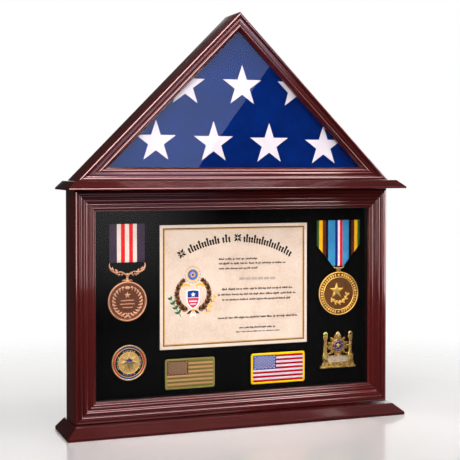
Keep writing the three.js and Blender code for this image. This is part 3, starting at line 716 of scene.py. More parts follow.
# dowels with chamfered ends and the long spiral flutes of a joinery dowel
for side, x in (("left", -200), ("right", 200)):
    rings = []
    n = 48
    for k in range(25):
        z = 460.2 + 38.8 * k / 24
        r0 = 4.0 - (0.7 if k in (0, 24) else 0.0)
        rings.append([(x + (r0 - 0.18 * (0.5 + 0.5 * cos(12 * (a + 0.05 * k)))) * cos(a), 20 + (r0 - 0.18 * (0.5 + 0.5 * cos(12 * (a + 0.05 * k)))) * sin(a), z)
                      for a in (2 * pi * i / n for i in range(n))])
    build(f"ledge_dowel_{side}_fluted", Shape().add(loft(rings)), [BEECH], "case_frame", [f"ledge_dowel_{side}"], angle=50)


# ======================================================== panes, spacers, backs
def soft_box(name, dims, r, mats, body, nodes, seg=3):
    return build(name, Shape().add(box(*dims)), mats, body, nodes, angle=60, bevel=r, seg=seg)


inX, inZ0, inZ1 = 312.7, 42.4, 451.6


def tri_outline(u):
    return [tL(u), tR(u), tA(u)]


pane = build("lower_glass_pane", Shape().add(box(-inX, inX, -8.5, -6.0, inZ0, inZ1)), [GLASS], "case_frame", ["lower_glass"], angle=30, bevel=0.35, seg=1)
pane.visible_shadow = False
pane = build("upper_glass_pane", Shape().add(plate(tri_outline(TRI_WALL + 0.4), -17.4, -14.9)), [GLASS], "case_frame", ["upper_glass"], angle=30, bevel=0.35, seg=1)
pane.visible_shadow = False

sX, sZ0, sZ1 = 292.6, 62.5, 431.5
soft_box("spacer_top_felted", (-inX, inX, -5.7, 12.7, sZ1, inZ1), 0.9, [FELT], "case_frame", ["spacer_top"])
soft_box("spacer_bottom_felted", (-inX, inX, -5.7, 12.7, inZ0, sZ0), 0.9, [FELT], "case_frame", ["spacer_bottom"])
soft_box("spacer_left_felted", (-inX, -sX, -5.7, 12.7, sZ0 + 0.3, sZ1 - 0.3), 0.9, [FELT], "case_frame", ["spacer_left"])
soft_box("spacer_right_felted", (sX, inX, -5.7, 12.7, sZ0 + 0.3, sZ1 - 0.3), 0.9, [FELT], "case_frame", ["spacer_right"])
soft_box("display_board_felted", (-inX + 0.5, inX - 0.5, 13, 23, inZ0 + 0.5, inZ1 - 0.5), 1.6, [FELT], "shadow_box_back", ["display_board"])
for side, x in (("left", -242), ("right", 220)):
    soft_box(f"board_batten_{side}_planed", (x, x + 22, 23.3, 54.8, inZ0 + 20, inZ1 - 20), 1.0, [BEECH], "shadow_box_back", [f"board_batten_{side}"])
pX, pZ0, pZ1 = 322.5, 32.6, 461.4
build("lower_back_panel_cut", Shape().add(plate(rrect(-pX, pX, pZ0, pZ1, 2, 3), 55.1, 60.0)), [PANEL], "shadow_box_back", ["lower_back_panel"], angle=50, bevel=0.5)


def blunt(u, c, n=1):
    pts, out = tri_outline(u), []
    for i in range(3):
        (x, z), (px, pz), (nx, nz) = pts[i], pts[i - 1], pts[(i + 1) % 3]
        lp, ln = hypot(px - x, pz - z), hypot(nx - x, nz - z)
        a = (x + (px - x) * c / lp, z + (pz - z) * c / lp)
        b = (x + (nx - x) * c / ln, z + (nz - z) * c / ln)
        for k in range(n + 1):
            t = k / n
            out.append(((1 - t) ** 2 * a[0] + 2 * t * (1 - t) * x + t * t * b[0], (1 - t) ** 2 * a[1] + 2 * t * (1 - t) * z + t * t * b[1]) if n > 1
                       else (a if k == 0 else b))
    return out


build("upper_back_panel_cut", Shape().add(plate(blunt(TRI_EDGE + 0.5, 4), 53.6, 58.5)), [PANEL], "flag_case_back", ["upper_back_panel"], angle=50, bevel=0.5)

# ===================================================================== hardware
def mid(a, b, t, u):
    (ax, az), (bx, bz) = a(u), b(u)
    return ax + (bx - ax) * t, az + (bz - az) * t


buttons = [("upper", "left", *mid(tL, tA, 0.52, 5), (-RX, -RZ), TRI_BACK), ("upper", "right", *mid(tR, tA, 0.52, 5), (RX, -RZ), TRI_BACK),
           ("upper", "bottom", 15, TRI_Z0 + 5, (-1, 0), TRI_BACK)]
for nm, x, z, d in (("left_top", -328, 372, (0, -1)), ("left_bottom", -328, 152, (0, -1)), ("right_top", 328, 372, (0, -1)),
                    ("right_bottom", 328, 152, (0, -1)), ("top", 15, BOX_Z1 - 5, (-1, 0)), ("bottom", 15, BOX_Z0 + 5, (-1, 0))):
    buttons.append(("lower", nm, x, z, d, BOX_BACK))
for tier, nm, x, z, (dx, dz), back in buttons:
    # the button: a flat bar with round ends, eased edges and a chamfered screw hole
    r, reach = 4.5, 21.0
    a0 = math.atan2(dz, dx)
    out = [(r * cos(a0 + pi / 2 + pi * i / 18), r * sin(a0 + pi / 2 + pi * i / 18)) for i in range(19)]
    out += [(dx * reach + r * cos(a0 - pi / 2 + pi * i / 18), dz * reach + r * sin(a0 - pi / 2 + pi * i / 18)) for i in range(19)]
    dense = []
    for i in range(len(out)):
        p, q = out[i], out[(i + 1) % len(out)]
        k = max(1, int(hypot(q[0] - p[0], q[1] - p[1]) / 2.2))
        dense += [(p[0] + (q[0] - p[0]) * j / k, p[1] + (q[1] - p[1]) * j / k) for j in range(k)]
    hole = [(2.0 * cos(math.atan2(b, a)), 2.0 * sin(math.atan2(b, a))) for a, b in dense]
    y0, y1 = back + 0.3, back + 1.9
    ring = lambda pts, y: [(x + a, y, z + b) for a, b in pts]
    s = Shape().add(loft([ring(hole, y0), ring(inset(dense, 0.3), y0), ring(dense, y0 + 0.3), ring(dense, y1 - 0.45), ring(inset(dense, 0.15), y1 - 0.15),
                          ring(inset(dense, 0.5), y1), ring([(c * 1.25, d * 1.25) for c, d in hole], y1), ring(hole, y1 - 0.25)], torus=True))
    build(f"{tier}_turn_button_{nm}_stamped", s, [BRASS], f"{tier}_button_{nm}", [f"{tier}_turn_button_{nm}"], angle=40)
    # its screw: pan head with a cross recess
    h0 = back + 2.2

    def head(X, Z, R, A):
        dome = 1.8 * np.sqrt(np.clip(1 - (R / 3.6) ** 2, 0, 1)) ** 0.7 + 0.0
        slot_ = np.minimum(np.abs(X), np.abs(Z))
        cross = np.clip((0.42 - slot_) / 0.12, 0, 1) * np.clip((1.9 - R) / 0.25, 0, 1)
        return np.maximum(dome * 0.98, 0.55) - cross * 1.0
    s = Shape()
    vf, hh, H = relief(x, z, 3.3, h0, head, 16, 64, side=1)
    s.add(vf)
    s.add(turned([(0, back - 12), (0.5, back - 11.4), (1.5, back - 9), (1.5, h0 - 0.05), (0, h0 - 0.05)], 18, x, z))
    build(f"{tier}_turn_screw_{nm}_head", s, [STEEL], "case_frame", [f"{tier}_turn_screw_{nm}"], angle=32)
for i in range(4):
    x = (-270, -90, 90, 270)[i]

    def flat(X, Z, R, A):
        slot_ = np.minimum(np.abs(X), np.abs(Z))
        cross = np.clip((0.5 - slot_) / 0.14, 0, 1) * np.clip((2.3 - R) / 0.3, 0, 1)
        return 0.0 * R + 0.6 - cross * 1.3
    vf, hh, H = relief(0, 0, 3.8, 0, flat, 16, 64, side=1)
    v = [(x + a, 21 + c, 1.2 - b) for a, b, c in vf[0]]
    s = Shape().add((v, vf[1])).add(turned([(3.6, 1.1), (1.7, 3.4), (1.7, 33), (0, 36)], 20, x, 21, axis="z"))
    build(f"base_screw_{i + 1}_head", s, [STEEL], "case_frame", [f"base_screw_{i + 1}"], angle=32)

# ================================================================== folded flag
BLUE = weave("flag_blue_cotton", (0.0004, 0.0115, 0.100), (0.0002, 0.007, 0.068), pitch=0.55, rough=0.9, sheen=0.01, tint=(0.3, 0.45, 1.0), strength=0.3, mottle=0.2)
STAR = satin_stitch("flag_star_white", (0.56, 0.555, 0.60), 0.9, "Z", 0.6, (0.43, 0.425, 0.48))
N = 18
PLY_IN = 24.3
PITCH = 1.07
FRONT_Y = -12.6
corners3 = tri_outline(PLY_IN)  # left, right, apex


def sway(x, z):
    """Soft unevenness shared by every layer, so that they never cross."""
    return 0.30 * sin(x / 61 + 0.7) * cos((z - 490) / 47) + 0.18 * sin((x + 1.3 * (z - 490)) / 83 + 1.9) + 0.10 * cos((x - z) / 29)


def ply_point(i, j, y):
    """Grid point: i of N from left to right, j of N up to the apex."""
    (lx, lz), (rx, rz), (ax, az) = corners3
    a, b, c = (N - i - j) / N, i / N, j / N
    x, z = lx * a + rx * b + ax * c, lz * a + rz * b + az * c
    return x, y + sway(x, z), z


order = [13, 11, 9, 7, 5, 3, 1, 0, 2, 4, 6, 8, 10, 12]
slot_of = {t: k for k, t in enumerate(order)}


def ply_y(t, letter):
    k = slot_of[t] * 4 + (letter if t % 2 else 3 - letter)
    return FRONT_Y + PITCH * k


edge_pts = {"H": [(i, 0) for i in range(N + 1)], "A": [(0, j) for j in range(N + 1)], "B": [(N - j, j) for j in range(N + 1)]}
edge_out = {"H": (0.0, -1.0), "A": (-RZ, RX), "B": (RZ, RX)}
flag = Shape()
grid = {}
for t in range(14):
    for L in range(4):
        y, base = ply_y(t, L), len(flag.v)
        ids = {}
        for j in range(N + 1):
            for i in range(N + 1 - j):
                ids[(i, j)] = base + len(ids)
        flag.v += [ply_point(i, j, y) for (i, j) in ids]
        f = []
        for j in range(N):
            for i in range(N - j):
                f.append((ids[(i, j)], ids[(i + 1, j)], ids[(i, j + 1)]))
                if i + j < N - 1:
                    f.append((ids[(i + 1, j)], ids[(i + 1, j + 1)], ids[(i, j + 1)]))
        flag.f += f
        flag.m += [0] * len(f)
        grid[(t, L)] = ids


def bend(edge, ids1, y1, ids2, y2, out, taper=0.0):
    """Cloth rounding an edge of the pack from the layer at y1 to the one at y2."""
    nx, nz = edge_out[edge]
    rc = min(out, abs(y2 - y1) / 2)
    s = 1 if y2 > y1 else -1
    steps = [(out * sin(pi / 2 * k / 4), y1 + s * rc * (1 - cos(pi / 2 * k / 4))) for k in range(1, 5)]
    far = [(out * sin(pi / 2 * k / 4), y2 - s * rc * (1 - cos(pi / 2 * k / 4))) for k in range(4, 0, -1)]
    path = steps + (far if abs(y2 - y1) > 2 * rc + 0.01 else far[1:])
    rows = []
    for (i, j) in edge_pts[edge]:
        x, _, z = ply_point(i, j, 0)
        w = sway(x, z)
        col = [ids1[(i, j)]]
        for o, y in path:
            col.append(len(flag.v))
            k = o * (1 + 0.05 * sin(x / 17.0 + z / 23.0 + y / 5.0))
            flag.v.append((x + nx * k, y + w, z + nz * k))
        if ids2 is not None:
            col.append(ids2[(i, j)])
        rows.append(col)
    for a, b in zip(rows, rows[1:]):
        for k in range(len(a) - 1):
            flag.f.append((a[k], a[k + 1], b[k + 1], b[k]))
            flag.m.append(0)


fold_edge = ["A", "H", "B", "H"]
nest = {"A": 0, "B": 0, "H": 0}
for t in range(14):
    free = "B" if t % 4 in (0, 1) else "A"
    if t % 4 in (0, 1):  # the fold down the middle of the strip
        bend(free, grid[(t, 1)], ply_y(t, 1), grid[(t, 2)], ply_y(t, 2), 0.5)
        bend(free, grid[(t, 0)], ply_y(t, 0), grid[(t, 3)], ply_y(t, 3), 1.4)
    else:  # the first lengthwise fold, beside the two selvedges
        bend(free, grid[(t, 2)], ply_y(t, 2), grid[(t, 3)], ply_y(t, 3), 0.5)
    if t < 13:
        e = fold_edge[t % 4]
        for L in (3, 2, 1, 0):
            bend(e, grid[(t, L)], ply_y(t, L), grid[(t + 1, L)], ply_y(t + 1, L), 1.9 + 0.145 * nest[e])
            nest[e] += 1
# the last end of the strip goes down over the front edge and is tucked under
for L in (3, 2, 1, 0):
    bend("H", grid[(13, L)], ply_y(13, L), None, ply_y(13, L) + 30 - 4 * L, 5.45 - 0.12 * L)
flag_obj = build("folded_flag_cloth", flag, [BLUE], "flag", ["folded_flag"], angle=75, closed=False, merge=False)

outline = [tL(25.0), tR(25.0), tA(25.0)]
for n_, (sx, sz) in enumerate(((-170.4, 565.3), (-51.4, 564.0), (67.4, 561.8), (187.6, 558.6), (-110.4, 676.8), (9.05, 677.3), (127.0, 675.9))):
    poly = clip(star(sx, sz, 43.0, 0.385), outline)
    dense = []
    for i in range(len(poly)):
        p, q = poly[i], poly[(i + 1) % len(poly)]
        k = max(1, int(hypot(q[0] - p[0], q[1] - p[1]) / 9))
        dense += [(p[0] + (q[0] - p[0]) * j / k, p[1] + (q[1] - p[1]) * j / k) for j in range(k)]
    cx, cz = sum(p[0] for p in dense) / len(dense), sum(p[1] for p in dense) / len(dense)
    if n_ not in (0, 4, 6, 3):
        cx, cz = sx, sz
    s = Shape()
    ya = FRONT_Y - 0.22
    rings = []
    for q, dy in ((0.0, 0.0), (0.0, 0.30), (0.35, 0.42), (1.1, 0.45)):
        rings.append([(x, ya - dy + sway(x, z), z) for x, z in inset(dense, q)])
    for k in (0.66, 0.33):
        rings.append([(cx + (x - cx) * k, ya - 0.45 + sway(cx + (x - cx) * k, cz + (z - cz) * k), cz + (z - cz) * k) for x, _, z in rings[3]])
    v, f = loft(rings, cap0=False, cap1=False)
    n = len(dense)
    c1, c0 = len(v), len(v) + 1
    v += [(cx, ya - 0.45 + sway(cx, cz), cz), (cx, ya + sway(cx, cz), cz)]
    for j in range(n):
        k = (j + 1) % n
        f.append((5 * n + j, 5 * n + k, c1))
        f.append((k, j, c0))
    s.add((v, f))
    build(f"flag_star_{n_ + 1}", s, [STAR], "flag", angle=50)


# ============================================================== the certificate
PAPER, nt, p = material("parchment", base=(0.680, 0.612, 0.527), rough=0.8, Specular_IOR_Level=0.0)
g1, g2, g3 = noise(nt, coords(nt), 16, 5, 0.6, 0.6), noise(nt, coords(nt), 190, 4, 0.7), noise(nt, coords(nt, (1, 1, 0.25)), 900, 2, 0.5)
t = math_(nt, "ADD", math_(nt, "MULTIPLY", g1, 0.5), math_(nt, "ADD", math_(nt, "MULTIPLY", g2, 0.3), math_(nt, "MULTIPLY", g3, 0.2)))
nt.links.new(ramp(nt, t, [(0.34, (0.476, 0.387, 0.310)), (0.5, (0.565, 0.489, 0.404)), (0.66, (0.612, 0.557, 0.480))]), p.inputs["Base Color"])
nt.links.new(rng(nt, g2, 0.3, 0.7, 0.62, 0.8), p.inputs["Roughness"])
bump(nt, p, g3, 0.22, 0.0002)
CREAM = ink("paper_margin", (0.60, 0.54, 0.465), 0.7)
BLACK = ink("print_black", (0.012, 0.011, 0.010), 0.55)
GREY = ink("print_grey", (0.34, 0.31, 0.28), 0.6)
FRAME_BROWN = ink("print_border_brown", (0.12, 0.055, 0.008), 0.5)
FRAME_GOLD = ink("print_border_gold", (0.42, 0.25, 0.055), 0.45)
P_BROWN = ink("print_brown", (0.085, 0.030, 0.016), 0.6)
P_BROWN2 = ink("print_brown_light", (0.30, 0.15, 0.07), 0.6)
P_GOLD = ink("print_gold", (0.72, 0.42, 0.05), 0.5)
P_BLUE = ink("print_blue", (0.012, 0.045, 0.22), 0.55)
P_BLUE2 = ink("print_blue_bright", (0.03, 0.14, 0.55), 0.55)
P_RED = ink("print_red", (0.50, 0.045, 0.09), 0.55)
P_WHITE = ink("print_white", (0.78, 0.78, 0.80), 0.6)
P_GREEN = ink("print_green", (0.018, 0.13, 0.055), 0.6)
C0, C1, D0, D1 = -155.5, 162.0, 152.9, 400.5
PY = B0 - 0.8


def warp(x, z):
    """The sheet lies nearly flat, its corners lifting a hair off the board."""
    u, w = (x - 3.25) / 158.75, (z - 276.7) / 123.8
    return -0.22 * (abs(u) ** 6) * (abs(w) ** 6) * (1 if u * w > 0 else 0.6)


def grid_sheet(x0, x1, z0, z1, nx, nz, y0, y1, fn=None):
    """A thin closed slab with a finely divided face."""
    fn = fn or (lambda a, b: 0.0)
    v, f = [], []
    for k, y in ((0, y0), (1, y1)):
        for j in range(nz + 1):
            for i in range(nx + 1):
                x, z = x0 + (x1 - x0) * i / nx, z0 + (z1 - z0) * j / nz
                v.append((x, y + fn(x, z), z))
    o = (nx + 1) * (nz + 1)
    for j in range(nz):
        for i in range(nx):
            a = j * (nx + 1) + i
            f.append((a, a + 1, a + nx + 2, a + nx + 1))
            f.append((o + a, o + a + nx + 1, o + a + nx + 2, o + a + 1))
    rim = [i for i in range(nx + 1)] + [(j) * (nx + 1) + nx for j in range(1, nz + 1)] + [nz * (nx + 1) + i for i in range(nx - 1, -1, -1)] + [j * (nx + 1) for j in range(nz - 1, 0, -1)]
    for a, b in zip(rim, rim[1:] + rim[:1]):
        f.append((a, o + a, o + b, b))
    return v, f


s = Shape().add(grid_sheet(C0, C1, D0, D1, 24, 18, PY, B0, warp))
cert = build("certificate_sheet", s, [PAPER], "shadow_box_back", ["certificate"], angle=40)


def flat_ring(x0, x1, z0, z1, w, y0, y1):
    o_ = [(x0, z0), (x1, z0), (x1, z1), (x0, z1)]
    i_ = [(x0 + w, z0 + w), (x1 - w, z0 + w), (x1 - w, z1 - w), (x0 + w, z1 - w)]
    r = lambda pts, y: [(a, y, b) for a, b in pts]
    return loft([r(o_, y1), r(o_, y0), r(i_, y0), r(i_, y1)], torus=True)


prt, MATS = Shape(), [BLACK, GREY, FRAME_BROWN, FRAME_GOLD, P_BROWN, P_BROWN2, P_GOLD, P_BLUE, P_BLUE2, P_RED, P_WHITE, P_GREEN, CREAM]
BK, GY, FB, FG, PB, PB2, PG, PL, PL2, PR, PW, PN, CM = range(13)
T0 = PY - 0.30


def pr(poly, mat, h=0.14, base=None):
    y1 = PY - 0.02 if base is None else base
    prt.add(plate(poly, y1 - h, y1), mat)


# pale margin outside the border, then the double border line
prt.add(flat_ring(C0 + 0.4, C1 - 0.4, D0 + 0.4, D1 - 0.4, 6.6, PY - 0.10, PY - 0.02), CM)
prt.add(flat_ring(C0 + 6.2, C1 - 5.8, D0 + 6.2, D1 - 6.0, 2.1, PY - 0.20, PY - 0.02), FB)
prt.add(flat_ring(C0 + 8.6, C1 - 8.2, D0 + 8.6, D1 - 8.4, 1.6, PY - 0.20, PY - 0.02), FG)

# heading: an arch of broad-pen strokes that spell nothing
rnd = random.Random(11)


def arc_z(x):
    u = (x - 4.0) / 114.0
    return 364.6 - 30.5 * u * u * (0.86 + 0.14 * u * u)


def arc_slope(x):
    return math.atan((arc_z(x + 1) - arc_z(x - 1)) / 2)


def stroke(x, h0, h1, w, lean=0.0, foot=True):
    """One upright pen stroke with slanted ends, standing on the arch at x."""
    a = arc_slope(x)
    pts = [(-w / 2, h0 + w * 0.45), (w / 2, h0 - w * 0.25), (w / 2 + lean, h1 - w * 0.2), (-w / 2 + lean, h1 + w * 0.45)]
    if foot:
        pts = [(-w / 2, h0 + w * 0.5), (0, h0 - w * 0.35), (w * 0.85, h0 + w * 0.35), (w / 2, h0 + w * 0.75),
               (w / 2 + lean, h1 - w * 0.9), (w * 0.75 + lean, h1 - w * 0.3), (lean, h1 + w * 0.45), (-w * 0.8 + lean, h1 - w * 0.35), (-w / 2 + lean, h1 - w * 0.8)]
    z0 = arc_z(x)
    pr([(x + px * cos(a) - pz * sin(a), z0 + px * sin(a) + pz * cos(a)) for px, pz in pts], BK)


def dab(x, h, r, k=1.0):
    """A small lozenge laid with the pen, at height h over the arch."""
    a, z0 = arc_slope(x), arc_z(x)
    pr([(x + px * cos(a) - pz * sin(a), z0 + px * sin(a) + pz * cos(a)) for px, pz in ((-r, h), (0, h - r * k), (r, h), (0, h + r * k))], BK, 0.12)


def group(x0, x1, tall=(), deep=()):
    """A run of even upright strokes, some taller, some deeper: an ornament,
    with nothing to read in it."""
    n_ = int(round((x1 - x0) / 5.3))
    for k in range(n_ + 1):
        x = x0 + (x1 - x0) * k / n_
        up, down = (15.4 if k in tall else 10.0), (-4.4 if k in deep else 0.0)
        stroke(x, down, up, 3.6)
        if k % 3 == 1 and k not in tall:
            dab(x, 14.0, 1.5)


def rosette(x):
    """A bold lozenge of pen strokes that opens a run."""
    a, z0 = arc_slope(x), arc_z(x)
    def put(q, h=0.16):
        pr([(x + px * cos(a) - pz * sin(a), z0 + px * sin(a) + pz * cos(a)) for px, pz in q], BK, h)
    for q in range(4):
        c_, s_ = cos(q * pi / 2 + pi / 4), sin(q * pi / 2 + pi / 4)
        arm = [(1.2, 0.0), (3.2, 2.6), (8.2, 1.7), (10.2, 0.0), (8.2, -1.7), (3.2, -2.6)]
        put([(u * c_ - w * s_, 8.2 + u * s_ + w * c_) for u, w in arm])
    for q in range(4):
        c_, s_ = cos(q * pi / 2), sin(q * pi / 2)
        put([(u * c_ - w * s_, 8.2 + u * s_ + w * c_) for u, w in ((3.6, 0), (6.0, 1.15), (8.4, 0), (6.0, -1.15))], 0.12)


rosette(-106.5)
group(-91.5, -32.0, tall=(1, 4, 7, 10), deep=())
group(-21.5, -9.0, tall=(1,), deep=())
rosette(9.0)
group(23.0, 121.0, tall=(1, 4, 7, 10, 13, 16), deep=())


# body copy: thin grey-black bars the length of words, no letters
def line(x0, x1, z, h, dz=0.0, mat=BK, words=None, gap=1.9):
    x = x0
    while x < x1 - 1.5:
        w = min(rnd.choice((5.2, 7.4, 9.6, 12.0, 14.2)), x1 - x)
        zz = z + dz * (x - x0) / (x1 - x0)
        q = x
        while q < x + w - 0.5:
            hh = h * (1.0 if rnd.random() < 0.62 else 1.42)
            bw = rnd.uniform(1.05, 1.5)
            dn = 0.45 * h if rnd.random() < 0.08 else 0
            pr([(q, zz - h / 2 - dn), (q + bw, zz - h / 2 - dn + 0.15), (q + bw, zz + hh - h / 2), (q, zz + hh - h / 2 - 0.15)], mat, 0.09)
            q += bw + 0.38
        x += w + gap


for x0, x1, z, dz, h in ((-31.7, 55.2, 329.9, -0.8, 2.9), (-31.7, 113.9, 320.6, -1.0, 2.9), (-31.7, 54.1, 310.6, -0.6, 2.9),
                         (-25.3, 128.5, 268.4, -1.0, 2.9), (-33.8, 136.4, 257.6, -1.2, 2.9), (-24.2, 125.1, 247.0, -1.0, 2.9),
                         (-33.8, 139.7, 210.2, -0.8, 2.9), (12.5, 93.8, 189.0, -0.7, 2.7), (5.6, 101.6, 180.8, -0.6, 2.0)):
    line(x0, x1, z, h, dz)
for k in range(6):
    a = 12.5 + 13.4 * k
    pr(rrect(a, a + 11.8, 286.6 - k * 0.2, 291.8 - k * 0.2, 1.6, 3), GY, 0.08)
pr([(-0.5, 195.6), (105.0, 194.9), (105.0, 195.25), (-0.5, 195.95)], GY, 0.08)

# emblem: a laurel wreath round a plain two-coloured shield with one star,
# a rayed roundel above it, and a green and a gold sprig beside its foot
ex = -86.4


def leaf(x, z, ang, ln, wd, mat, base=None, h=0.12):
    a = math.radians(ang)
    pts = []
    for k in range(9):
        t = k / 8
        pts.append((t * ln, wd * sin(pi * t) ** 0.8 * (1.15 - 0.4 * t)))
    q = pts + [(u, -w) for u, w in pts[-2:0:-1]]
    pr([(x + u * cos(a) - w * sin(a), z + u * sin(a) + w * cos(a)) for u, w in q], mat, h, base)


for sx in (-1, 1):
    for k in range(15):
        t = k / 14
        an = math.radians(-90 + sx * (20 + 118 * t))
        rx_, rz_ = 33.5, 34.0
        px, pz = ex + rx_ * cos(an), 262 + rz_ * sin(an)
        tang = math.degrees(an) + sx * 90
        for off, ln, wd, m_ in ((0, 11.5, 2.6, PB), (34, 11.0, 2.5, PB2 if k % 2 else PB), (-34, 11.0, 2.5, PB if k % 3 else PB2)):
            leaf(px, pz, tang + off * sx, ln * (1.05 - 0.3 * t), wd * (1.0 - 0.22 * t), m_, PY - 0.02 - 0.012 * k)
# roundel with a dotted halo
for k in range(32):
    a = 2 * pi * k / 32
    pr(circle(ex - 0.6 + 16.2 * cos(a), 300.6 + 16.2 * sin(a), 0.95, 6), GY if k % 2 else PL, 0.1)
pr([(ex - 0.6 + (13.4 if k % 2 == 0 else 11.6) * cos(pi * k / 14), 300.6 + (13.4 if k % 2 == 0 else 11.6) * sin(pi * k / 14)) for k in range(28)], PG, 0.12, PY - 0.24)
pr(circle(ex - 0.6, 300.6, 10.2, 32), PL, 0.12, PY - 0.38)
pr(circle(ex - 0.6, 300.6, 8.8, 32), PL2, 0.1, PY - 0.5)
pr(star(ex - 0.6, 300.6, 6.8, 0.5, 8), PG, 0.1, PY - 0.6)
pr(circle(ex - 0.6, 300.6, 2.6, 16), PL, 0.1, PY - 0.7)
# gold scrolls under the roundel
for sx in (-1, 1):
    for k in range(6):
        t = k / 5
        leaf(ex + sx * (6 + 15 * t), 276 + 10 * t - 9 * t * t, 90 - sx * (38 + 46 * t), 8.5, 1.6, PG, PY - 0.1 - 0.01 * k)
# shield, parted in two, one star above
for d_, m_, up_ in ((2.2, PW, 0.20), (0.0, None, 0.34)):
    sh_o = [(-11.6, 268), (0, 269.6), (11.6, 268), (12.0, 252), (10.2, 243.5), (5.6, 237.4), (0, 233.6), (-5.6, 237.4), (-10.2, 243.5), (-12.0, 252)]
    if m_ is not None:
        pr([(ex + a_, b_) for a_, b_ in inset(sh_o, -d_)], m_, 0.12, PY - up_)
pr([(ex + a_, b_) for a_, b_ in ((-11.6, 268), (-11.95, 255), (11.95, 255), (11.6, 268), (0, 269.6))], PL, 0.12, PY - 0.34)
pr([(ex + a_, b_) for a_, b_ in ((-12.0, 254), (-12.0, 252), (-10.2, 243.5), (-5.6, 237.4), (0, 233.6), (5.6, 237.4), (10.2, 243.5), (12.0, 252), (12.0, 254))], PR, 0.12, PY - 0.34)
pr(star(ex, 260.8, 5.2, 0.42), PW, 0.1, PY - 0.48)
pr([(ex + a_, b_) for a_, b_ in ((-8.6, 248.6), (8.6, 248.6), (8.2, 246.6), (-8.2, 246.6))], PW, 0.1, PY - 0.48)
pr([(ex + a_, b_) for a_, b_ in ((-6.4, 242.8), (6.4, 242.8), (5.2, 240.9), (-5.2, 240.9))], PW, 0.1, PY - 0.48)
# sprigs
for k in range(4):
    t = k / 3
    px, pz = ex - 29 - 17 * t, 224 + 28 * t
    leaf(px, pz, 168 - 18 * t, 10.5 - 2 * t, 2.5, PN, PY - 0.26 - 0.01 * k)
    leaf(px, pz, 78 + 10 * t, 10.0 - 2 * t, 2.4, PN, PY - 0.27 - 0.01 * k)
    px = ex + 29 + 15 * t
    leaf(px, pz + 1, 12 + 14 * t, 9.5 - 2 * t, 1.9, PG, PY - 0.26 - 0.01 * k)
    leaf(px, pz + 1, 104 - 14 * t, 9.0 - 2 * t, 1.8, PG if k % 2 else PB2, PY - 0.27 - 0.01 * k)
for sx, m_ in ((-1, PN), (1, PG)):
    pr([(ex + sx * 25, 218), (ex + sx * 26.4, 217.4), (ex + sx * 46.5, 253), (ex + sx * 45.5, 253.4)], m_, 0.1, PY - 0.24)
# tie and pale ribbon ends at the foot
for sx in (-1, 1):
    leaf(ex, 229.5, 270 + sx * 62, 15.5, 2.9, PB, PY - 0.3)
    leaf(ex, 228.5, 270 + sx * 22, 14.0, 3.4, PW, PY - 0.42)
    leaf(ex, 228.5, 270 + sx * 22, 10.0, 0.6, GY, PY - 0.56)
pr(circle(ex, 229.5, 3.4, 14), PG, 0.12, PY - 0.56)
build("certificate_print", prt, MATS, "shadow_box_back", angle=40, merge=False)

# ================================================================= struck relief
def ring_h(R, r, w, h):
    return h * np.clip(1 - np.abs(R - r) / w, 0, 1) ** 0.6


def leaf_h(X, Z, cx, cz, ang, ln, wd, h):
    a = math.radians(ang)
    u = ((X - cx) * cos(a) + (Z - cz) * sin(a)) / ln
    w = (-(X - cx) * sin(a) + (Z - cz) * cos(a)) / wd
    prof = np.clip(1 - (2 * u - 1) ** 2, 0, 1) ** 0.5
    body = np.clip(1 - (np.abs(w) / np.maximum(prof, 1e-3)) ** 2, 0, 1) * (u > 0) * (u < 1)
    return h * body ** 0.5 * (0.72 + 0.28 * np.clip(np.abs(w) * 3, 0, 1))


def star_h(X, Z, cx, cz, rad, h, a0=pi / 2, n=5, inner=0.40):
    """A facetted star, high along its arms' ridges."""
    x, z = X - cx, Z - cz
    r, a = np.hypot(x, z), np.arctan2(z, x) - a0
    k = 2 * pi / n
    a = np.abs((a + k / 2) % k - k / 2)
    px, pz = rad, 0.0
    qx, qz = rad * inner * cos(k / 2), rad * inner * sin(k / 2)
    X2, Z2 = r * np.cos(a), r * np.sin(a)
    ed = ((px - qx) * (Z2 - qz) - (pz - qz) * (X2 - qx))
    L_ = hypot(px - qx, pz - qz)
    d = -ed / L_
    side = np.where(ed * 0 + d > 0, d, -1)
    inside = side if ((px - qx) * (0 - qz) - (pz - qz) * (0 - qx)) < 0 else np.where(-d > 0, -d, -1)
    return np.where(inside > 0, h * np.clip(0.35 + inside / (rad * 0.24), 0, 1), 0)


BZ = relief_metal("antique_bronze", (0.74, 0.42, 0.26), (0.34, 0.16, 0.09), (0.06, 0.026, 0.016), 3.0, 4.2, 0.36)
GD = relief_metal("struck_gilt", (1.0, 0.72, 0.20), (0.66, 0.38, 0.07), (0.075, 0.034, 0.012), 3.4, 4.55, 0.36)

mx_, mz_, mr_ = -222.3, 252.7, 39.5


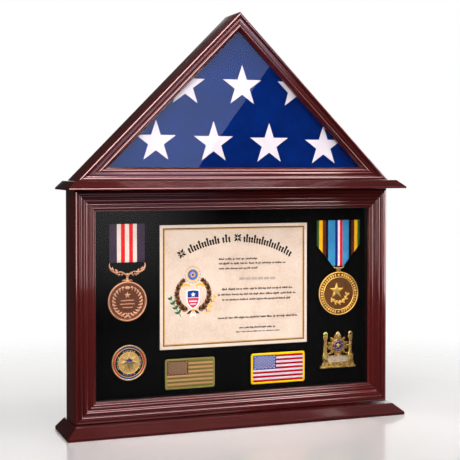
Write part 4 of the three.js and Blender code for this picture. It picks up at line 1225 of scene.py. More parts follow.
def bronze_face(X, Z, R, A):
    H = 3.0 + 0.0 * X
    H = np.where(R > mr_ - 3.4, 3.0 + 1.0 * np.clip((R - (mr_ - 3.4)) / 0.6, 0, 1), H)
    H = np.where(R > mr_ - 1.3, 4.0 - 0.5 * np.clip((R - mr_ + 1.3) / 1.3, 0, 1), H)
    H = np.maximum(H, 3.0 + ring_h(R, mr_ - 4.9, 0.5, 0.45))
    # two laurel branches, tied below
    for sx in (-1, 1):
        for k in range(11):
            t = k / 10
            a = math.radians(-90 + sx * (14 + 142 * t))
            for dr_, da, ln, wd, h in ((-1.2, 38, 8.0, 2.2, 1.15), (2.2, -8, 7.6, 2.1, 1.0), (-4.4, 74, 6.6, 1.9, 0.9)):
                rr_ = mr_ * 0.70 + dr_
                H = np.maximum(H, 3.0 + leaf_h(X, Z, rr_ * cos(a), rr_ * sin(a), math.degrees(a) + sx * (90 - da * 0.9), ln * (1 - 0.25 * t), wd * (1 - 0.25 * t), h))
    for sx in (-1, 1):
        H = np.maximum(H, 3.0 + leaf_h(X, Z, 0, -mr_ * 0.72, -90 + sx * 62, 8, 2.4, 1.1))
        H = np.maximum(H, 3.0 + leaf_h(X, Z, 0, -mr_ * 0.72, -90 + sx * 150, 7, 2.0, 1.1))
    H = np.maximum(H, 3.0 + 1.3 * np.clip(1 - np.hypot(X, Z + mr_ * 0.72) / 2.6, 0, 1) ** 0.5)
    # a small coronet-like flourish at the top, a star, and three plain bars
    for k in range(5):
        H = np.maximum(H, 3.0 + leaf_h(X, Z, 0, 23.5, 34 + 28 * k, 7.2, 1.5, 1.0))
    H = np.maximum(H, 3.0 + star_h(X, Z, 0, 12.2, 7.6, 1.2))
    for zz, hw in ((1.6, 13.5), (-5.4, 15.0), (-12.2, 11.0)):
        H = np.maximum(H, 3.0 + 0.7 * np.clip((hw - np.abs(X)) / 0.8, 0, 1) * np.clip((1.55 - np.abs(Z - zz)) / 0.6, 0, 1) * (0.62 + 0.38 * (np.cos(X * 2.6 + zz) > -0.35)))
    H = H + 0.05 * np.sin(X * 2.1 + 3 * np.sin(Z * 0.7)) * np.cos(Z * 1.7)
    return H


vf, hh, H = relief(mx_, mz_, mr_, B0, bronze_face, 74, 200)
build("left_medal_disc_struck", Shape().add(vf), [BZ], "shadow_box_back", ["left_medal_disc"], angle=55)

# scrolled suspension bar: a lobed bar turned up at its ends, leaf buds, a ball and a claw
BZB = metal("bronze_bar", (0.80, 0.46, 0.28), (0.22, 0.09, 0.05), 0.26, patina=0.55)
top = mz_ + mr_ + 0.3
s = Shape()
yb = B0 - 2.1
arm = [(0.6, 11.6), (4, 13.4), (8, 16.4), (12.5, 18.6), (17, 18.2), (21.5, 17.2), (26, 18.0), (30, 19.8), (33.6, 22.8), (35.4, 27.0), (36.0, 31.5), (35.4, 35.9)]
tp = [2.2, 1.9, 1.5, 1.45, 1.6, 1.9, 2.0, 2.1, 2.0, 1.8, 1.45, 0.7]
for sx in (-1, 1):
    s.add(tube([(mx_ + sx * a, yb, top + b) for a, b in arm], 1.6, 12, tp))
    for a, b, ang, ln, wd in ((20, 18.4, 52, 7.5, 2.1), (27.5, 20.4, 70, 7.2, 2.0), (14.5, 15.4, -52, 6.5, 1.8), (24, 15.6, 205, 7.0, 1.8), (31.6, 22.5, 108, 6.5, 1.7), (9.4, 14.8, -58, 5.8, 1.7), (5.6, 14.2, 20, 6.2, 1.5)):
        an = math.radians(ang if sx > 0 else 180 - ang)
        rings = []
        for k in range(7):
            t_ = k / 6
            w_ = max(0.06, wd * sin(pi * min(0.97, 0.06 + t_)) ** 0.7)
            c_ = (mx_ + sx * a + cos(an) * ln * t_, yb - 0.3, top + b + sin(an) * ln * t_)
            rings.append([(c_[0] - sin(an) * w_ * cos(q), c_[1] - 1.35 * sin(q) * (w_ / wd + 0.05), c_[2] + cos(an) * w_ * cos(q)) for q in (2 * pi * j / 10 for j in range(10))])
        s.add(loft(rings))
s.add(ball((mx_, yb, top + 12.6), 3.6, 2.0, 3.6, 18, 12))
s.add(loft([[(mx_ + r_ * cos(q), yb + min(2.0, r_ * 0.6) * sin(q), top + z_) for q in (2 * pi * j / 20 for j in range(20))]
            for r_, z_ in ((3.9, 0.1), (3.2, 1.2), (2.3, 2.6), (2.9, 4.0), (2.9, 4.8), (2.1, 5.8), (2.4, 8.0), (3.0, 10.0))]))
for sx in (-1, 1):
    s.add(tube([(mx_ + sx * a, yb + 0.4, top + b) for a, b in ((2.0, 1.2), (5.2, 1.9), (8.6, 1.6), (10.6, 0.7))], 1.1, 10, [1.3, 1.5, 1.2, 0.5]))
build("left_medal_bar_scrolled", s, [BZB], "shadow_box_back", ["left_medal_bar"], angle=50, merge=False)


# ======================================================================= ribbons
def ribbed(name, c, gloss=0.05):
    return weave(name, c, tuple(q * 0.62 for q in c), pitch=0.55, rib=0.95, rough=0.52, sheen=gloss, tint=(1, 1, 1), strength=0.4, mottle=0.25)


R_PLUM, R_CREAM, R_RED = ribbed("ribbon_plum", (0.046, 0.028, 0.056)), ribbed("ribbon_cream", (0.76, 0.70, 0.62)), ribbed("ribbon_red", (0.74, 0.008, 0.016))
R_GREEN, R_YELLOW, R_BROWN, R_BLACK = ribbed("ribbon_green", (0.035, 0.12, 0.03)), ribbed("ribbon_yellow", (0.86, 0.50, 0.012)), ribbed("ribbon_maroon", (0.10, 0.022, 0.016)), ribbed("ribbon_black", (0.006, 0.006, 0.006))
R_SKY, R_NAVY, R_WHITE = ribbed("ribbon_sky", (0.045, 0.26, 0.50)), ribbed("ribbon_navy", (0.010, 0.022, 0.19)), ribbed("ribbon_white", (0.80, 0.80, 0.84))

# left: one length looped through the bar, its two legs lying together
stripes = [(-35.6, -20.6, 0), (-20.6, -12.4, 1), (-12.4, -4.6, 2), (-4.6, 4.0, 1), (4.0, 11.6, 2), (11.6, 19.6, 1), (19.6, 35.6, 0)]
zt, zb = 404.5, top + 36.7
xs, cols = [], []
for a, b, c_ in stripes:
    k = max(1, int((b - a) / 3.5))
    xs += [a + (b - a) * i / k for i in range(k)]
    cols += [c_] * k
xs.append(35.6)
path = [(B0 - 0.10, zt), (B0 - 0.10, (zt + zb) / 2), (B0 - 0.10, zb + 1.2), (B0 - 0.35, zb + 0.35), (B0 - 0.95, zb + 0.02), (B0 - 1.6, zb + 0.3), (B0 - 1.95, zb + 1.2)]
path += [(B0 - 1.95 + 0.35 * (k / 10), zb + 1.2 + (zt - zb - 1.2) * k / 10) for k in range(1, 11)]
th = 0.34
inner = []
for i, (y, z) in enumerate(path):
    a, b = path[max(0, i - 1)], path[min(len(path) - 1, i + 1)]
    l_ = hypot(b[0] - a[0], b[1] - a[1])
    inner.append((y + (b[1] - a[1]) / l_ * th, z - (b[0] - a[0]) / l_ * th))
loopy = path + inner[::-1]
sgn = 1
v, f, fm = [], [], []
for x in xs:
    for y, z in loopy:
        v.append((mx_ + x, y if y <= B0 else B0, z))
n = len(loopy)
for i in range(len(xs) - 1):
    for j in range(n):
        k = (j + 1) % n
        f.append((i * n + j, i * n + k, (i + 1) * n + k, (i + 1) * n + j))
        fm.append(cols[i])
f += [tuple(range(n)), tuple(range((len(xs) - 1) * n, len(xs) * n))[::-1]]
fm += [cols[0], cols[-1]]
s = Shape()
s.add((v, f), fm)
lrib = build("left_medal_ribbon_looped", s, [R_PLUM, R_CREAM, R_RED], "shadow_box_back", ["left_medal_ribbon"], angle=50)

# right: corners folded back to a point at the hanger
gx, gz, gr = 234.0, 251.0, 45.7
gtop = gz + gr + 0.3
PX = [316.5, 318.7, 322.1, 325.3, 327.5, 334.4, 337.1, 338.8, 341.2, 348.5, 351.0, 353.9, 356.9, 359.1]
bx = [-49.2 + 98.4 * (a - 316.5) / (359.1 - 316.5) for a in PX]
bx = [(-49.2), -44.2, -36.2, -28.7, -23.6, -7.4, -1.6, 3.4, 9.2, 24.0, 30.0, 36.8, 44.2, 49.2]
bc = [0, 1, 2, 3, 4, 5, 6, 7, 4, 3, 2, 1, 0]
zt2, zk, zb2, hb = 404.5, 352.8, gtop + 11.8, 12.7
xs, cols = [], []
for a, b, c_ in zip(bx, bx[1:], bc):
    k = max(1, int(abs(b - a) / 3.0))
    xs += [a + (b - a) * i / k for i in range(k)]
    cols += [c_] * k
xs.append(bx[-1])
for extra in (-hb, hb):
    i = min(range(len(xs)), key=lambda q: abs(xs[q] - extra))
    xs[i] = extra
low = lambda x: zb2 if abs(x) <= hb else zb2 + (abs(x) - hb) / (49.2 - hb) * (zk - zb2)
nz_ = 26
v, f, fm = [], [], []
for back in (0, 1):
    for x in xs:
        for j in range(nz_ + 1):
            z = zt2 + (low(x) - zt2) * j / nz_
            edge_d = min((z - low(x)) * 0.75 if abs(x) > hb else 9, 49.2 - abs(x) if z > zk else 9, z - zb2)
            ease = 0.55 * math.exp(-max(0, edge_d) / 0.8)
            belly = 0.22 * cos(x / 31.0) * sin(pi * (z - zb2) / (zt2 - zb2))
            y = B0 - 1.25 - 0.45 * (1 - j / nz_ * 0.2) - belly + ease + (0.34 if back else 0)
            v.append((gx + x, y, z))
o_, n = len(xs) * (nz_ + 1), nz_ + 1
for i in range(len(xs) - 1):
    for j in range(nz_):
        a = i * n + j
        f.append((a, a + 1, a + n + 1, a + n))
        f.append((o_ + a, o_ + a + n, o_ + a + n + 1, o_ + a + 1))
        fm += [cols[i], cols[i]]
m_ = len(xs)
rim = [i * n for i in range(m_)] + [(m_ - 1) * n + j for j in range(1, n)] + [i * n + nz_ for i in range(m_ - 2, -1, -1)] + [j for j in range(nz_ - 1, 0, -1)]
for a, b in zip(rim, rim[1:] + rim[:1]):
    f.append((a, o_ + a, o_ + b, b))
    fm.append(cols[min(a // n, m_ - 2)])
s = Shape()
s.add((v, f), fm)
for sx in (-1, 1):  # the folded-back corner, behind
    P0, P1 = Vector((sx * hb, zb2)), Vector((sx * 49.2, zk))
    d_ = (P1 - P0).normalized()
    q = Vector((sx * 49.2, zb2))
    foot_ = P0 + d_ * (q - P0).dot(d_)
    r_ = foot_ * 2 - q
    tri = [(gx + P0.x + sx * 0.0, P0.y + 0.6), (gx + P1.x - sx * 0.6, P1.y), (gx + r_.x, r_.y)]
    s.add(plate(inset(tri, 0.5), B0 - 0.62, B0 - 0.28), 3)
rrib = build("right_medal_ribbon_folded", s, [R_GREEN, R_YELLOW, R_BROWN, R_BLACK, R_SKY, R_NAVY, R_WHITE, R_RED], "shadow_box_back", ["right_medal_ribbon"], angle=50)

# gilt hanger: a flared yoke the ribbon passes through, a ring post and a collar
GBR = metal("gilt_bright", (0.95, 0.66, 0.22), (0.52, 0.28, 0.06), 0.2, patina=0.35)
s = Shape()
yb = B0 - 2.2
s.add(plate([(gx + a, gtop + b) for a, b in ((-12.4, 11.4), (-13.2, 10.2), (-9.4, 6.6), (-7.0, 5.4), (7.0, 5.4), (9.4, 6.6), (13.2, 10.2), (12.4, 11.4), (9.6, 10.2), (7.2, 9.4), (-7.2, 9.4), (-9.6, 10.2))], yb - 1.6, yb + 1.2, 0.7, 0.3, 3))
s.add(plate([(gx + a, gtop + b) for a, b in ((-5.6, 0.1), (5.6, 0.1), (5.2, 1.6), (4.9, 6.2), (6.0, 8.6), (-6.0, 8.6), (-4.9, 6.2), (-5.2, 1.6))], yb - 1.9, yb + 1.4, 0.8, 0.3, 3))
s.add(turned([(0, yb - 1.2), (1.9, yb - 1.2), (2.2, yb - 2.0), (1.3, yb - 2.3), (1.0, yb - 1.9), (0, yb - 1.9)], 20, gx, gtop + 4.4))
for sx in (-1, 1):
    s.add(ball((gx + sx * 10.2, yb - 0.6, gtop + 8.8), 1.7, 1.5, 1.5, 12, 8))
build("right_medal_hanger_yoke", s, [GBR], "shadow_box_back", ["right_medal_hanger"], angle=40, merge=False)


def gilt_face(X, Z, R, A):
    b = 3.4
    H = b + 0.0 * X
    H = np.where(R > gr - 2.6, b + 1.0 * np.clip((R - gr + 2.6) / 0.5, 0, 1), H)
    H = np.where(R > gr - 1.1, b + 1.0 - 0.5 * np.clip((R - gr + 1.1) / 1.1, 0, 1), H)
    H = np.maximum(H, b + ring_h(R, gr - 11.4, 0.9, 0.95))
    # ring of short raised dashes between two lines, broken by four dots
    k = np.cos(A * 46)
    gap4 = np.abs(((A + pi / 4) % (pi / 2)) - pi / 4) > 0.10
    H = np.maximum(H, b + 0.75 * np.clip((k + 0.25) / 0.5, 0, 1) * np.clip((3.1 - np.abs(R - (gr - 6.9))) / 0.6, 0, 1) * gap4)
    for q in range(4):
        a = q * pi / 2
        H = np.maximum(H, b + 1.0 * np.clip(1 - np.hypot(X - (gr - 6.9) * cos(a), Z - (gr - 6.9) * sin(a)) / 2.3, 0, 1) ** 0.5)
    # inner field: a facetted star over a curved branch with paired leaves
    inside = R < gr - 12.6
    H = np.where(inside, np.maximum(H, b + star_h(X, Z, -5, 6, 17, 1.2, a0=math.radians(90))), H)
    for t in np.linspace(0, 1, 40):
        a_ = math.radians(208 + 150 * t)
        H = np.maximum(H, b + 1.2 * np.clip(1 - np.hypot(X - 19.5 * cos(a_), Z - 19.5 * sin(a_)) / 1.2, 0, 1) ** 0.5)
    for k2 in range(6):
        a_ = math.radians(216 + 26 * k2)
        cx_, cz_ = 19.5 * cos(a_), 19.5 * sin(a_)
        dg = math.degrees(a_) + 90
        H = np.maximum(H, b + leaf_h(X, Z, cx_, cz_, dg + 38, 7.6, 2.0, 1.1))
        H = np.maximum(H, b + leaf_h(X, Z, cx_, cz_, dg - 38, 7.0, 1.9, 1.1))
    return H


vf, hh, H = relief(gx, gz, gr, B0, gilt_face, 84, 224)
build("right_medal_disc_struck", Shape().add(vf), [GD], "shadow_box_back", ["right_medal_disc"], angle=55)

# ================================================================== round coin
kx, kz, kr = -219.2, 131.7, 35.1
CG = relief_metal("coin_gold", (0.86, 0.68, 0.30), (0.62, 0.43, 0.15), (0.22, 0.14, 0.05), 2.5, 3.5, 0.3)
E_RED, E_BLUE, E_GREY, E_DARK, E_SILVER = enamel("enamel_red", (0.34, 0.018, 0.02)), enamel("enamel_blue", (0.022, 0.026, 0.20)), enamel("enamel_slate", (0.020, 0.026, 0.024)), enamel("enamel_black", (0.008, 0.009, 0.009)), metal("coin_silver", (0.55, 0.56, 0.53), (0.2, 0.2, 0.2), 0.3)


def coin_face(X, Z, R, A):
    b = 2.6
    H = b + 0.0 * X
    H = np.where(R > kr - 2.6, b + 0.8 * np.clip((R - kr + 2.6) / 0.5, 0, 1) - 0.35 * np.clip((R - kr + 1.0) / 1.0, 0, 1), H)
    H = np.maximum(H, b + ring_h(R, kr - 6.6, 0.5, 0.45))
    H = np.maximum(H, b + ring_h(R, kr - 13.6, 0.55, 0.6))
    # marks on the slate ring, then the gold field with a compass rose
    mk = np.clip((np.cos(A * 40) - 0.1) / 0.4, 0, 1) * np.clip((1.3 - np.abs(R - (kr - 11.2))) / 0.4, 0, 1)
    H = np.maximum(H, b + 0.4 * mk * (np.abs(np.cos(A * 2)) > 0.35))
    f_ = R < kr - 14.2
    H = np.where(f_, b + 0.18, H)
    H = np.where(f_, np.maximum(H, b + 0.18 + star_h(X, Z, 0, 0, 19.5, 0.55, pi / 2, 8, 0.52)), H)
    H = np.where(f_, np.maximum(H, b + 0.18 + star_h(X, Z, 0, 0, 20.5, 0.75, pi / 2, 4, 0.34)), H)
    H = np.where(np.abs(R - 8.6) < 0.55, np.maximum(H, b + 0.2 + ring_h(R, 8.6, 0.55, 0.75)), H)
    H = np.where(R < 3.4, b + 1.0 - 0.25 * (R / 3.4) ** 2, H)
    return H


vf, hh, H = relief(kx, kz, kr, B0, coin_face, 64, 180)
v, f = vf
fm = []
for q, h in zip(f, hh):
    cx_ = sum(v[i][0] for i in q) / len(q) - kx
    cz_ = sum(v[i][2] for i in q) / len(q) - kz
    r_, a_ = hypot(cx_, cz_), math.degrees(math.atan2(cz_, cx_)) % 360
    m_ = 0
    if h < 9 and kr - 6.1 < r_ < kr - 2.6:
        m_ = 2 if (50 < a_ < 130 or 230 < a_ < 310) else 1
    elif h < 9 and kr - 13.2 < r_ < kr - 7.0:
        m_ = 5 if h > 2.75 else (3 if r_ > kr - 9.4 else 4)
    elif h < 9 and 3.5 < r_ < 8.2 and 35 < a_ < 145:
        m_ = 2
    fm.append(m_)
s = Shape()
s.add(vf, fm)
build("challenge_coin_enamelled", s, [CG, E_RED, E_BLUE, E_GREY, E_DARK, E_SILVER], "shadow_box_back", ["challenge_coin"], angle=55)

# ================================================================ cloth patches
def thread_frame(s, x0, x1, z0, z1, w, y1, rise, mat, pitch=1.15):
    """A merrowed edge: an overlocked cord of thread lying round the patch."""
    loop = rrect(x0 + w / 2, x1 - w / 2, z0 + w / 2, z1 - w / 2, 2.2, 5)
    dense = []
    for i in range(len(loop)):
        p_, q_ = loop[i], loop[(i + 1) % len(loop)]
        k = max(1, int(round(hypot(q_[0] - p_[0], q_[1] - p_[1]) / (pitch / 2))))
        dense += [(p_[0] + (q_[0] - p_[0]) * j / k, p_[1] + (q_[1] - p_[1]) * j / k) for j in range(k)]
    out_, in_ = inset(dense, -w / 2), inset(dense, w / 2)
    rings = []
    m = 7
    for i in range(len(dense)):
        g = 1.0 if i % 2 else 0.86
        ring = []
        for j in range(m + 1):
            t = j / m
            a = pi * t
            x = out_[i][0] * (1 + cos(a)) / 2 + in_[i][0] * (1 - cos(a)) / 2
            z = out_[i][1] * (1 + cos(a)) / 2 + in_[i][1] * (1 - cos(a)) / 2
            ring.append((x, y1 - rise * g * sin(a) ** 0.6 - 0.02, z))
        ring.append((in_[i][0], y1, in_[i][1]))
        ring.append((out_[i][0], y1, out_[i][1]))
        rings.append(ring)
    s.add(loft(rings, torus=True), mat)


def patch(name, x0, x1, z0, z1, border, node_, mats, canton_frac=0.455):
    """Embroidered flag patch: twill ground, thirteen satin-stitched bars,
    a stitched union with small stars, and a merrowed edge."""
    yb_ = B0
    ground = build(name + "_ground", Shape().add(grid_sheet(x0 + border * 0.5, x1 - border * 0.5, z0 + border * 0.5, z1 - border * 0.5, 24, 16, yb_ - 1.12, yb_)),
                   mats[:1], "shadow_box_back", [node_], angle=50)
    s = Shape()
    thread_frame(s, x0, x1, z0, z1, border, yb_, 1.85, 1)
    a0, a1, b0, b1 = x0 + border * 0.92, x1 - border * 0.92, z0 + border * 0.92, z1 - border * 0.92
    h = (b1 - b0) / 13
    cx_ = a0 + (a1 - a0) * canton_frac
    cz_ = b1 - 7 * h
    for k in range(13):
        zt_, zb_ = b1 - k * h, b1 - (k + 1) * h
        xa = cx_ if k < 7 else a0
        n_ = 14
        rings = []
        for i in range(n_ + 1):
            x = xa + (a1 - xa) * i / n_
            wob = 0.10 * sin(x * 0.9 + k)
            rings.append([(x, yb_ - 1.1, zb_ + 0.04), (x, yb_ - 1.42, zb_ + 0.10 + wob * 0.3), (x, yb_ - 1.62, zb_ + h * 0.32), (x, yb_ - 1.66, (zt_ + zb_) / 2 + wob * 0.3),
                          (x, yb_ - 1.62, zt_ - h * 0.32), (x, yb_ - 1.42, zt_ - 0.10 + wob * 0.3), (x, yb_ - 1.1, zt_ - 0.04)])
        s.add(loft(rings), 2 if k % 2 == 0 else 3)
    s.add(plate([(a0, cz_), (cx_, cz_), (cx_, b1), (a0, b1)], yb_ - 1.6, yb_ - 1.05, 0.3), 4)
    sw, sh_ = (cx_ - a0) / 12.0, (b1 - cz_) / 10.0
    for r_ in range(9):
        for c_ in range(6 if r_ % 2 == 0 else 5):
            px_ = a0 + sw * (1 + 2 * c_ + (0 if r_ % 2 == 0 else 1))
            pz_ = b1 - sh_ * (1 + r_)
            s.add(plate(star(px_, pz_, min(sw, sh_) * 0.78, 0.5), yb_ - 1.82, yb_ - 1.58), 5)
    s.m = [k - 1 for k in s.m]
    o = build(name + "_embroidery", s, mats[1:], "shadow_box_back", angle=50, merge=False)
    return o


O1, O2, O3, O4, O5 = (0.150, 0.132, 0.040), (0.17, 0.150, 0.047), (0.42, 0.25, 0.12), (0.040, 0.014, 0.012), (0.50, 0.32, 0.19)
patch("patch_left", -144.7, -40.5, 72.2, 133.4, 4.4, "patch_left",
      [weave("patch_twill_olive", O1, pitch=0.8), satin_stitch("thread_olive_edge", (0.23, 0.22, 0.062), 1.1, "X"), satin_stitch("thread_olive", (0.155, 0.135, 0.032), 0.8, "X"),
       satin_stitch("thread_tan", O3, 0.8, "X"), satin_stitch("thread_brown", O4, 0.8, "Z"), satin_stitch("thread_sand", O5, 0.6, "Z")])
patch("patch_right", 38.2, 157.4, 71.0, 134.4, 4.9, "patch_right",
      [weave("patch_twill_white", (0.6, 0.6, 0.62), pitch=0.8), satin_stitch("thread_gold_edge", (0.88, 0.60, 0.008), 1.1, "X", dark=(0.62, 0.38, 0.004)), satin_stitch("thread_red", (0.40, 0.002, 0.012), 0.8, "X", dark=(0.22, 0.001, 0.006)),
       satin_stitch("thread_white", (0.60, 0.60, 0.66), 0.8, "X", dark=(0.34, 0.34, 0.42)), satin_stitch("thread_blue", (0.008, 0.024, 0.22), 0.8, "Z", dark=(0.004, 0.012, 0.12)), satin_stitch("thread_star_white", (0.62, 0.66, 0.84), 0.6, "Z")])

# =================================================================== brooch pin
qx, qz = 232.8, 94.6
PGm = metal("pin_gold", (0.92, 0.68, 0.22), (0.50, 0.30, 0.06), 0.22, patina=0.5)
PGr = relief_metal("pin_gold_worked", (0.94, 0.70, 0.24), (0.62, 0.40, 0.10), (0.18, 0.10, 0.025), 3.0, 5.2, 0.25)
E_NAVY = enamel("pin_enamel_navy", (0.012, 0.010, 0.12))
STONE, nt, p = material("pin_plaque_stone", rough=0.6)
g1 = noise(nt, coords(nt), 700, 4, 0.7)
nt.links.new(ramp(nt, g1, [(0.3, (0.09, 0.078, 0.06)), (0.5, (0.24, 0.21, 0.17)), (0.7, (0.42, 0.37, 0.32))]), p.inputs["Base Color"])
nt.links.new(rng(nt, g1, 0.3, 0.7, 0.4, 0.7), p.inputs["Roughness"])
bump(nt, p, g1, 0.5, 0.0005)
def gem(name, c):
    m, nt, p = material(name, base=c, rough=0.08, Coat_Weight=1.0, Coat_Roughness=0.02, Specular_IOR_Level=0.9)
    g = noise(nt, coords(nt), 300, 2, 0.5)
    nt.links.new(ramp(nt, g, [(0.35, tuple(q * 0.5 for q in c)), (0.65, c)]), p.inputs["Base Color"])
    return m
G_GREEN, G_CLEAR, G_BLUE = gem("gem_green", (0.02, 0.22, 0.02)), gem("gem_clear", (0.42, 0.42, 0.45)), gem("gem_blue", (0.01, 0.01, 0.13))
s = Shape()
sh = lambda pts: [(qx + a, qz + b) for a, b in pts]
mir = lambda half: half + [(-a, b) for a, b in half[::-1]]
# foot: two steps, moulded
s.add(plate(sh(mir([(40.6, 0), (40.6, 4.0)])), B0 - 5.3, B0, 1.0, 0.3, 3), 0)
s.add(plate(sh(mir([(38.6, 3.8), (37.2, 7.6), (35.2, 10.8)])), B0 - 4.6, B0, 0.7, 0.3, 3), 0)
s.add(plate(sh(mir([(35.6, 10.6), (35.6, 13.6)])), B0 - 5.0, B0, 0.6, 0.3, 3), 0)
# plaque between the pedestals
s.add(plate(sh(mir([(24.0, 13.2), (24.0, 25.2)])), B0 - 3.4, B0, 0.3), 2)
s.add(plate(sh(mir([(24.2, 24.6), (24.2, 26.4)])), B0 - 4.4, B0, 0.5), 0)
for sx in (-1, 1):
    cx_ = qx + sx * 28.9
    s.add(plate([(cx_ - 5.6, qz + 13), (cx_ + 5.6, qz + 13), (cx_ + 5.4, qz + 26), (cx_ - 5.4, qz + 26)], B0 - 4.9, B0, 0.7, 0.3, 3), 0)
    s.add(plate([(cx_ - 3.4, qz + 15.4), (cx_ + 3.4, qz + 15.4), (cx_ + 3.4, qz + 23.6), (cx_ - 3.4, qz + 23.6)], B0 - 5.4, B0 - 4.4, 0.4), 0)
    s.add(plate([(cx_ - 6.8, qz + 25.4), (cx_ + 6.8, qz + 25.4), (cx_ + 6.8, qz + 28.0), (cx_ - 6.8, qz + 28.0)], B0 - 5.3, B0, 0.8, 0.3, 3), 0)
    # column: turned base, fluted shaft with a slight swelling, flared capital, ball with a set stone
    prof = [(3.2, 27.6), (5.6, 27.9), (5.9, 29.4), (5.1, 31.0), (4.3, 31.8), (4.9, 32.8), (4.2, 33.8), (3.9, 36), (4.0, 44), (3.8, 52), (3.45, 58), (3.9, 59), (4.3, 60), (3.9, 61), (4.2, 62.0), (5.6, 64.6), (6.0, 66.0), (5.2, 67.0)]
    rings = []
    for r_, h_ in prof:
        fl = 0.22 if 34 < h_ < 58.5 else 0.0
        rings.append([(cx_ + (r_ - fl * (0.5 + 0.5 * cos(14 * a))) * cos(a), B0 - 2.55 + min(2.5, r_ * 0.62) * sin(a) - 0.0, qz + h_) for a in (2 * pi * j / 56 for j in range(56))])
    s.add(loft(rings), 0)
    s.add(ball((cx_, B0 - 2.7, qz + 70.6), 5.5, 2.6, 5.8, 24, 14), 0)
    s.add(turned([(0, B0 - 4.6), (3.0, B0 - 4.8), (3.4, B0 - 5.25), (2.9, B0 - 5.4), (2.5, B0 - 5.1), (0, B0 - 5.0)], 24, cx_, qz + 70.8), 0)
    s.add(turned([(0, B0 - 4.9), (2.6, B0 - 4.9), (2.4, B0 - 5.3), (1.4, B0 - 5.5), (0, B0 - 5.5)], 8, cx_, qz + 70.8), 3 if sx < 0 else 5)
# sunburst rosette of twelve blunt rays with a raised boss
cz_ = qz + 47.0
ray = []
for k in range(12):
    a = 2 * pi * k / 12 + pi / 12
    for da, rr_ in ((-0.262, 16.0), (-0.10, 22.6), (0.0, 23.4), (0.10, 22.6)):
        ray.append((qx + rr_ * cos(a + da), cz_ + rr_ * sin(a + da)))
s.add(plate(ray, B0 - 2.6, B0 - 0.4, 0.5, 0.2), 0)
for k in range(12):
    a = 2 * pi * k / 12 + pi / 12
    c_, sn = cos(a), sin(a)
    loc_ = lambda u, w: (qx + u * c_ - w * sn, cz_ + u * sn + w * c_)
    quad = [loc_(9.5, -2.2), loc_(21.8, -1.5), loc_(22.6, 0), loc_(21.8, 1.5), loc_(9.5, 2.2)]
    s.add(plate(quad, B0 - 3.3, B0 - 2.3, 0.6), 1)
# stays from the rosette to the columns
for sx in (-1, 1):
    s.add(tube([(qx + sx * 17.5, B0 - 1.8, cz_ - 1), (qx + sx * 22, B0 - 1.6, cz_ - 0.4), (qx + sx * 26, B0 - 1.8, cz_)], 1.3, 10), 0)
    s.add(tube([(qx + sx * 12.5, B0 - 1.8, cz_ - 13.5), (qx + sx * 19, B0 - 1.6, cz_ - 16.6), (qx + sx * 25.6, B0 - 1.8, cz_ - 17.2)], 1.2, 10), 0)
s.add(tube([(qx, B0 - 2.0, cz_ - 21.5), (qx, B0 - 2.0, cz_ - 17)], 2.2, 12), 0)
# boss: enamel ring, gold lozenge border, small star, and eight brilliants
s.add(turned([(0, B0 - 3.6), (13.2, B0 - 3.5), (13.8, B0 - 3.0), (13.8, B0 - 2.2), (0, B0 - 2.2)], 48, qx, cz_), 1)
s.add(turned([(9.2, B0 - 3.7), (12.2, B0 - 3.75), (12.4, B0 - 3.4), (9.0, B0 - 3.4)], 48, qx, cz_), 6)
s.add(loft([[(qx + r_ * cos(2 * pi * j / 48), y_, cz_ + r_ * sin(2 * pi * j / 48)) for j in range(48)] for r_, y_ in ((8.4, B0 - 3.3), (8.6, B0 - 4.2), (9.2, B0 - 4.3), (9.6, B0 - 3.9), (9.6, B0 - 3.3))], torus=True), 0)
s.add(loft([[(qx + r_ * cos(2 * pi * j / 48), y_, cz_ + r_ * sin(2 * pi * j / 48)) for j in range(48)] for r_, y_ in ((12.0, B0 - 3.3), (12.2, B0 - 4.1), (12.9, B0 - 4.2), (13.3, B0 - 3.8), (13.3, B0 - 3.3))], torus=True), 0)
st_ = star(qx, cz_, 8.0, 0.42)
n = 10
v = [(a, B0 - 3.7, b) for a, b in st_] + [(a, B0 - 4.1, b) for a, b in st_] + [(qx, B0 - 5.3, cz_), (qx, B0 - 3.7, cz_)]
f = []
for j in range(n):
    k = (j + 1) % n
    f += [(j, k, n + k, n + j), (n + j, n + k, 2 * n), (k, j, 2 * n + 1)]
s.add((v, f), 0)
for k in range(8):
    a = pi / 8 + 2 * pi * k / 8
    s.add(ball((qx + 10.7 * cos(a), B0 - 3.9, cz_ + 10.7 * sin(a)), 1.0, 0.7, 1.0, 10, 6), 4)
# finial stone above the rosette
s.add(ball((qx, B0 - 2.8, qz + 70.2), 5.6, 2.5, 5.6, 24, 14), 0)
s.add(tube([(qx, B0 - 2.4, qz + 62), (qx, B0 - 2.6, qz + 66.4)], 2.6, 12), 0)
s.add(turned([(0, B0 - 4.6), (3.3, B0 - 4.8), (3.7, B0 - 5.2), (3.2, B0 - 5.4), (2.8, B0 - 5.1), (0, B0 - 5.0)], 24, qx, qz + 70.2), 0)
s.add(turned([(0, B0 - 4.9), (2.9, B0 - 4.9), (2.7, B0 - 5.3), (1.5, B0 - 5.5), (0, B0 - 5.5)], 8, qx, qz + 70.2), 4)
build("lapel_pin_worked", s, [PGm, PGr, STONE, G_GREEN, G_CLEAR, G_BLUE, E_NAVY], "shadow_box_back", ["lapel_pin"], angle=42, merge=True)

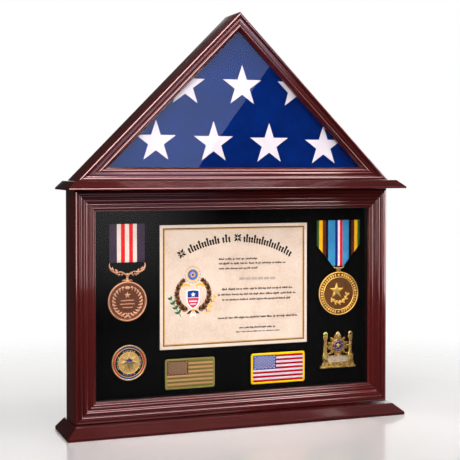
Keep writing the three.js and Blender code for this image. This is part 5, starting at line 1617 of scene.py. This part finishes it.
# ====================================================== floor and studio cards
floor_mat, nt, p = material("studio_floor", base=(0.88, 0.88, 0.88), rough=0.11, Specular_IOR_Level=0.6)
fc = node(nt, "TexCoord").outputs["Object"]
nt.links.new(rng(nt, noise(nt, fc, 3, 3, 0.5), 0.3, 0.7, 0.09, 0.13), p.inputs["Roughness"])
dist_ = node(nt, "VectorMath", {0: fc}, operation="LENGTH").outputs["Value"]
fade = rng(nt, dist_, 0.62, 1.25, 0.0, 1.0)
clear = node(nt, "BsdfTransparent")
mx = node(nt, "MixShader", {0: fade, 1: p.outputs[0], 2: clear.outputs[0]})
nt.links.new(mx.outputs[0], [n for n in nt.nodes if n.type == "OUTPUT_MATERIAL"][0].inputs[0])
rings = [[(r * cos(2 * pi * i / 64), r * sin(2 * pi * i / 64), 0.0) for i in range(64)] for r in (0.01, 300, 620, 900, 1300)]
v, f = loft(rings, cap1=False)
me = bpy.data.meshes.new("studio_floor")
me.from_pydata([(a * MM, b * MM, c * MM) for a, b, c in v], [], f)
me.materials.append(floor_mat)
floor = bpy.data.objects.new("studio_floor", me)
scene.collection.objects.link(floor)
floor.visible_glossy = False
floor.visible_transmission = False


def card(name, y_plane, outline_, push, strength, color, falloff=None):
    """A light card seen only as a reflection in a pane: outline_ is what it
    covers on the pane's plane (millimetres), thrown to a distance in front."""
    eye = Vector((CAM.x, 2 * y_plane * MM - CAM.y, CAM.z))
    pts = []
    for x, z in outline_:
        q = Vector((x * MM, y_plane * MM, z * MM))
        pts.append(q + (q - eye) * push)
    me_ = bpy.data.meshes.new(name)
    me_.from_pydata([tuple(q) for q in pts], [], [tuple(range(len(pts)))])
    m = bpy.data.materials.new(name)
    m.use_nodes = True
    t = m.node_tree
    t.nodes.clear()
    st = strength
    if falloff:
        (fx, fz), rad = falloff
        q = Vector((fx * MM, y_plane * MM, fz * MM))
        q = q + (q - eye) * push
        d = node(t, "VectorMath", {0: node(t, "TexCoord").outputs["Object"], 1: tuple(q)}, operation="DISTANCE").outputs["Value"]
        st = math_(t, "MULTIPLY", node(t, "MapRange", {"Value": d, "From Min": 0.0, "From Max": rad * (1 + push), "To Min": 1.0, "To Max": 0.0}, interpolation_type="SMOOTHSTEP").outputs[0], strength)
    em = node(t, "Emission", {"Color": (*color, 1), "Strength": st})
    node(t, "OutputMaterial", {"Surface": em.outputs[0]})
    me_.materials.append(m)
    o = bpy.data.objects.new(name, me_)
    scene.collection.objects.link(o)
    for k in ("camera", "diffuse", "transmission", "shadow", "volume_scatter"):
        setattr(o, "visible_" + k, False)
    return o


# the upper pane mirrors a big window card whose edge crosses it on the slant
e1, e2 = Vector((-81.0, 519.6)), Vector((64.1, 715.7))
dr = (e2 - e1).normalized()
lo_, hi_ = e1 - dr * 60, e2 + dr * 130
card("window_card", -17.4, [(lo_.x, lo_.y), (hi_.x, hi_.y), (-120, 900), (-520, 700), (-520, 430)], 0.55, 2.6, (0.58, 0.72, 1.0), falloff=((-190, 600), 0.9))
card("corner_card", -8.5, [(-400, 455), (20, 455), (20, 195), (-400, 195)], 0.55, 0.62, (1.0, 1.0, 1.0), falloff=((-250, 440), 0.24))



def softbox(name, corners, strength, color):
    """A lit panel seen only in the lacquer and the metals."""
    me_ = bpy.data.meshes.new(name)
    me_.from_pydata(corners, [], [(0, 1, 2, 3)])
    m = bpy.data.materials.new(name)
    m.use_nodes = True
    t = m.node_tree
    t.nodes.clear()
    em = node(t, "Emission", {"Color": (*color, 1), "Strength": strength})
    node(t, "OutputMaterial", {"Surface": em.outputs[0]})
    me_.materials.append(m)
    o = bpy.data.objects.new(name, me_)
    scene.collection.objects.link(o)
    for k in ("camera", "diffuse", "transmission", "shadow", "volume_scatter"):
        setattr(o, "visible_" + k, False)
    return o


# overhead panel, leaning forward of the case: it draws the light lines on the beads
softbox("overhead_panel", [(-1.4, -2.05, 1.75), (1.4, -2.05, 1.75), (1.4, -0.95, 2.15), (-1.4, -0.95, 2.15)], 17.0, (1.0, 0.84, 0.82))
softbox("front_panel", [(-1.4, -2.4, 1.28), (1.4, -2.4, 1.28), (1.4, -2.05, 1.75), (-1.4, -2.05, 1.75)], 20.0, (1.0, 0.84, 0.82))
softbox("right_panel", [(2.2, -1.5, 0.0), (2.2, -1.5, 1.5), (2.35, -0.1, 1.5), (2.35, -0.1, 0.0)], 9.0, (1.0, 0.80, 0.78))
softbox("right_high_panel", [(2.25, -0.8, 1.5), (2.05, -0.8, 2.0), (2.05, 0.5, 2.0), (2.25, 0.5, 1.5)], 8.0, (1.0, 0.80, 0.78))
softbox("left_panel", [(-2.1, -2.3, 0.0), (-2.1, -2.3, 1.5), (-2.5, -1.2, 1.5), (-2.5, -1.2, 0.0)], 7.0, (1.0, 0.88, 0.87))

# ======================================================================= finish
bpy.context.view_layer.update()
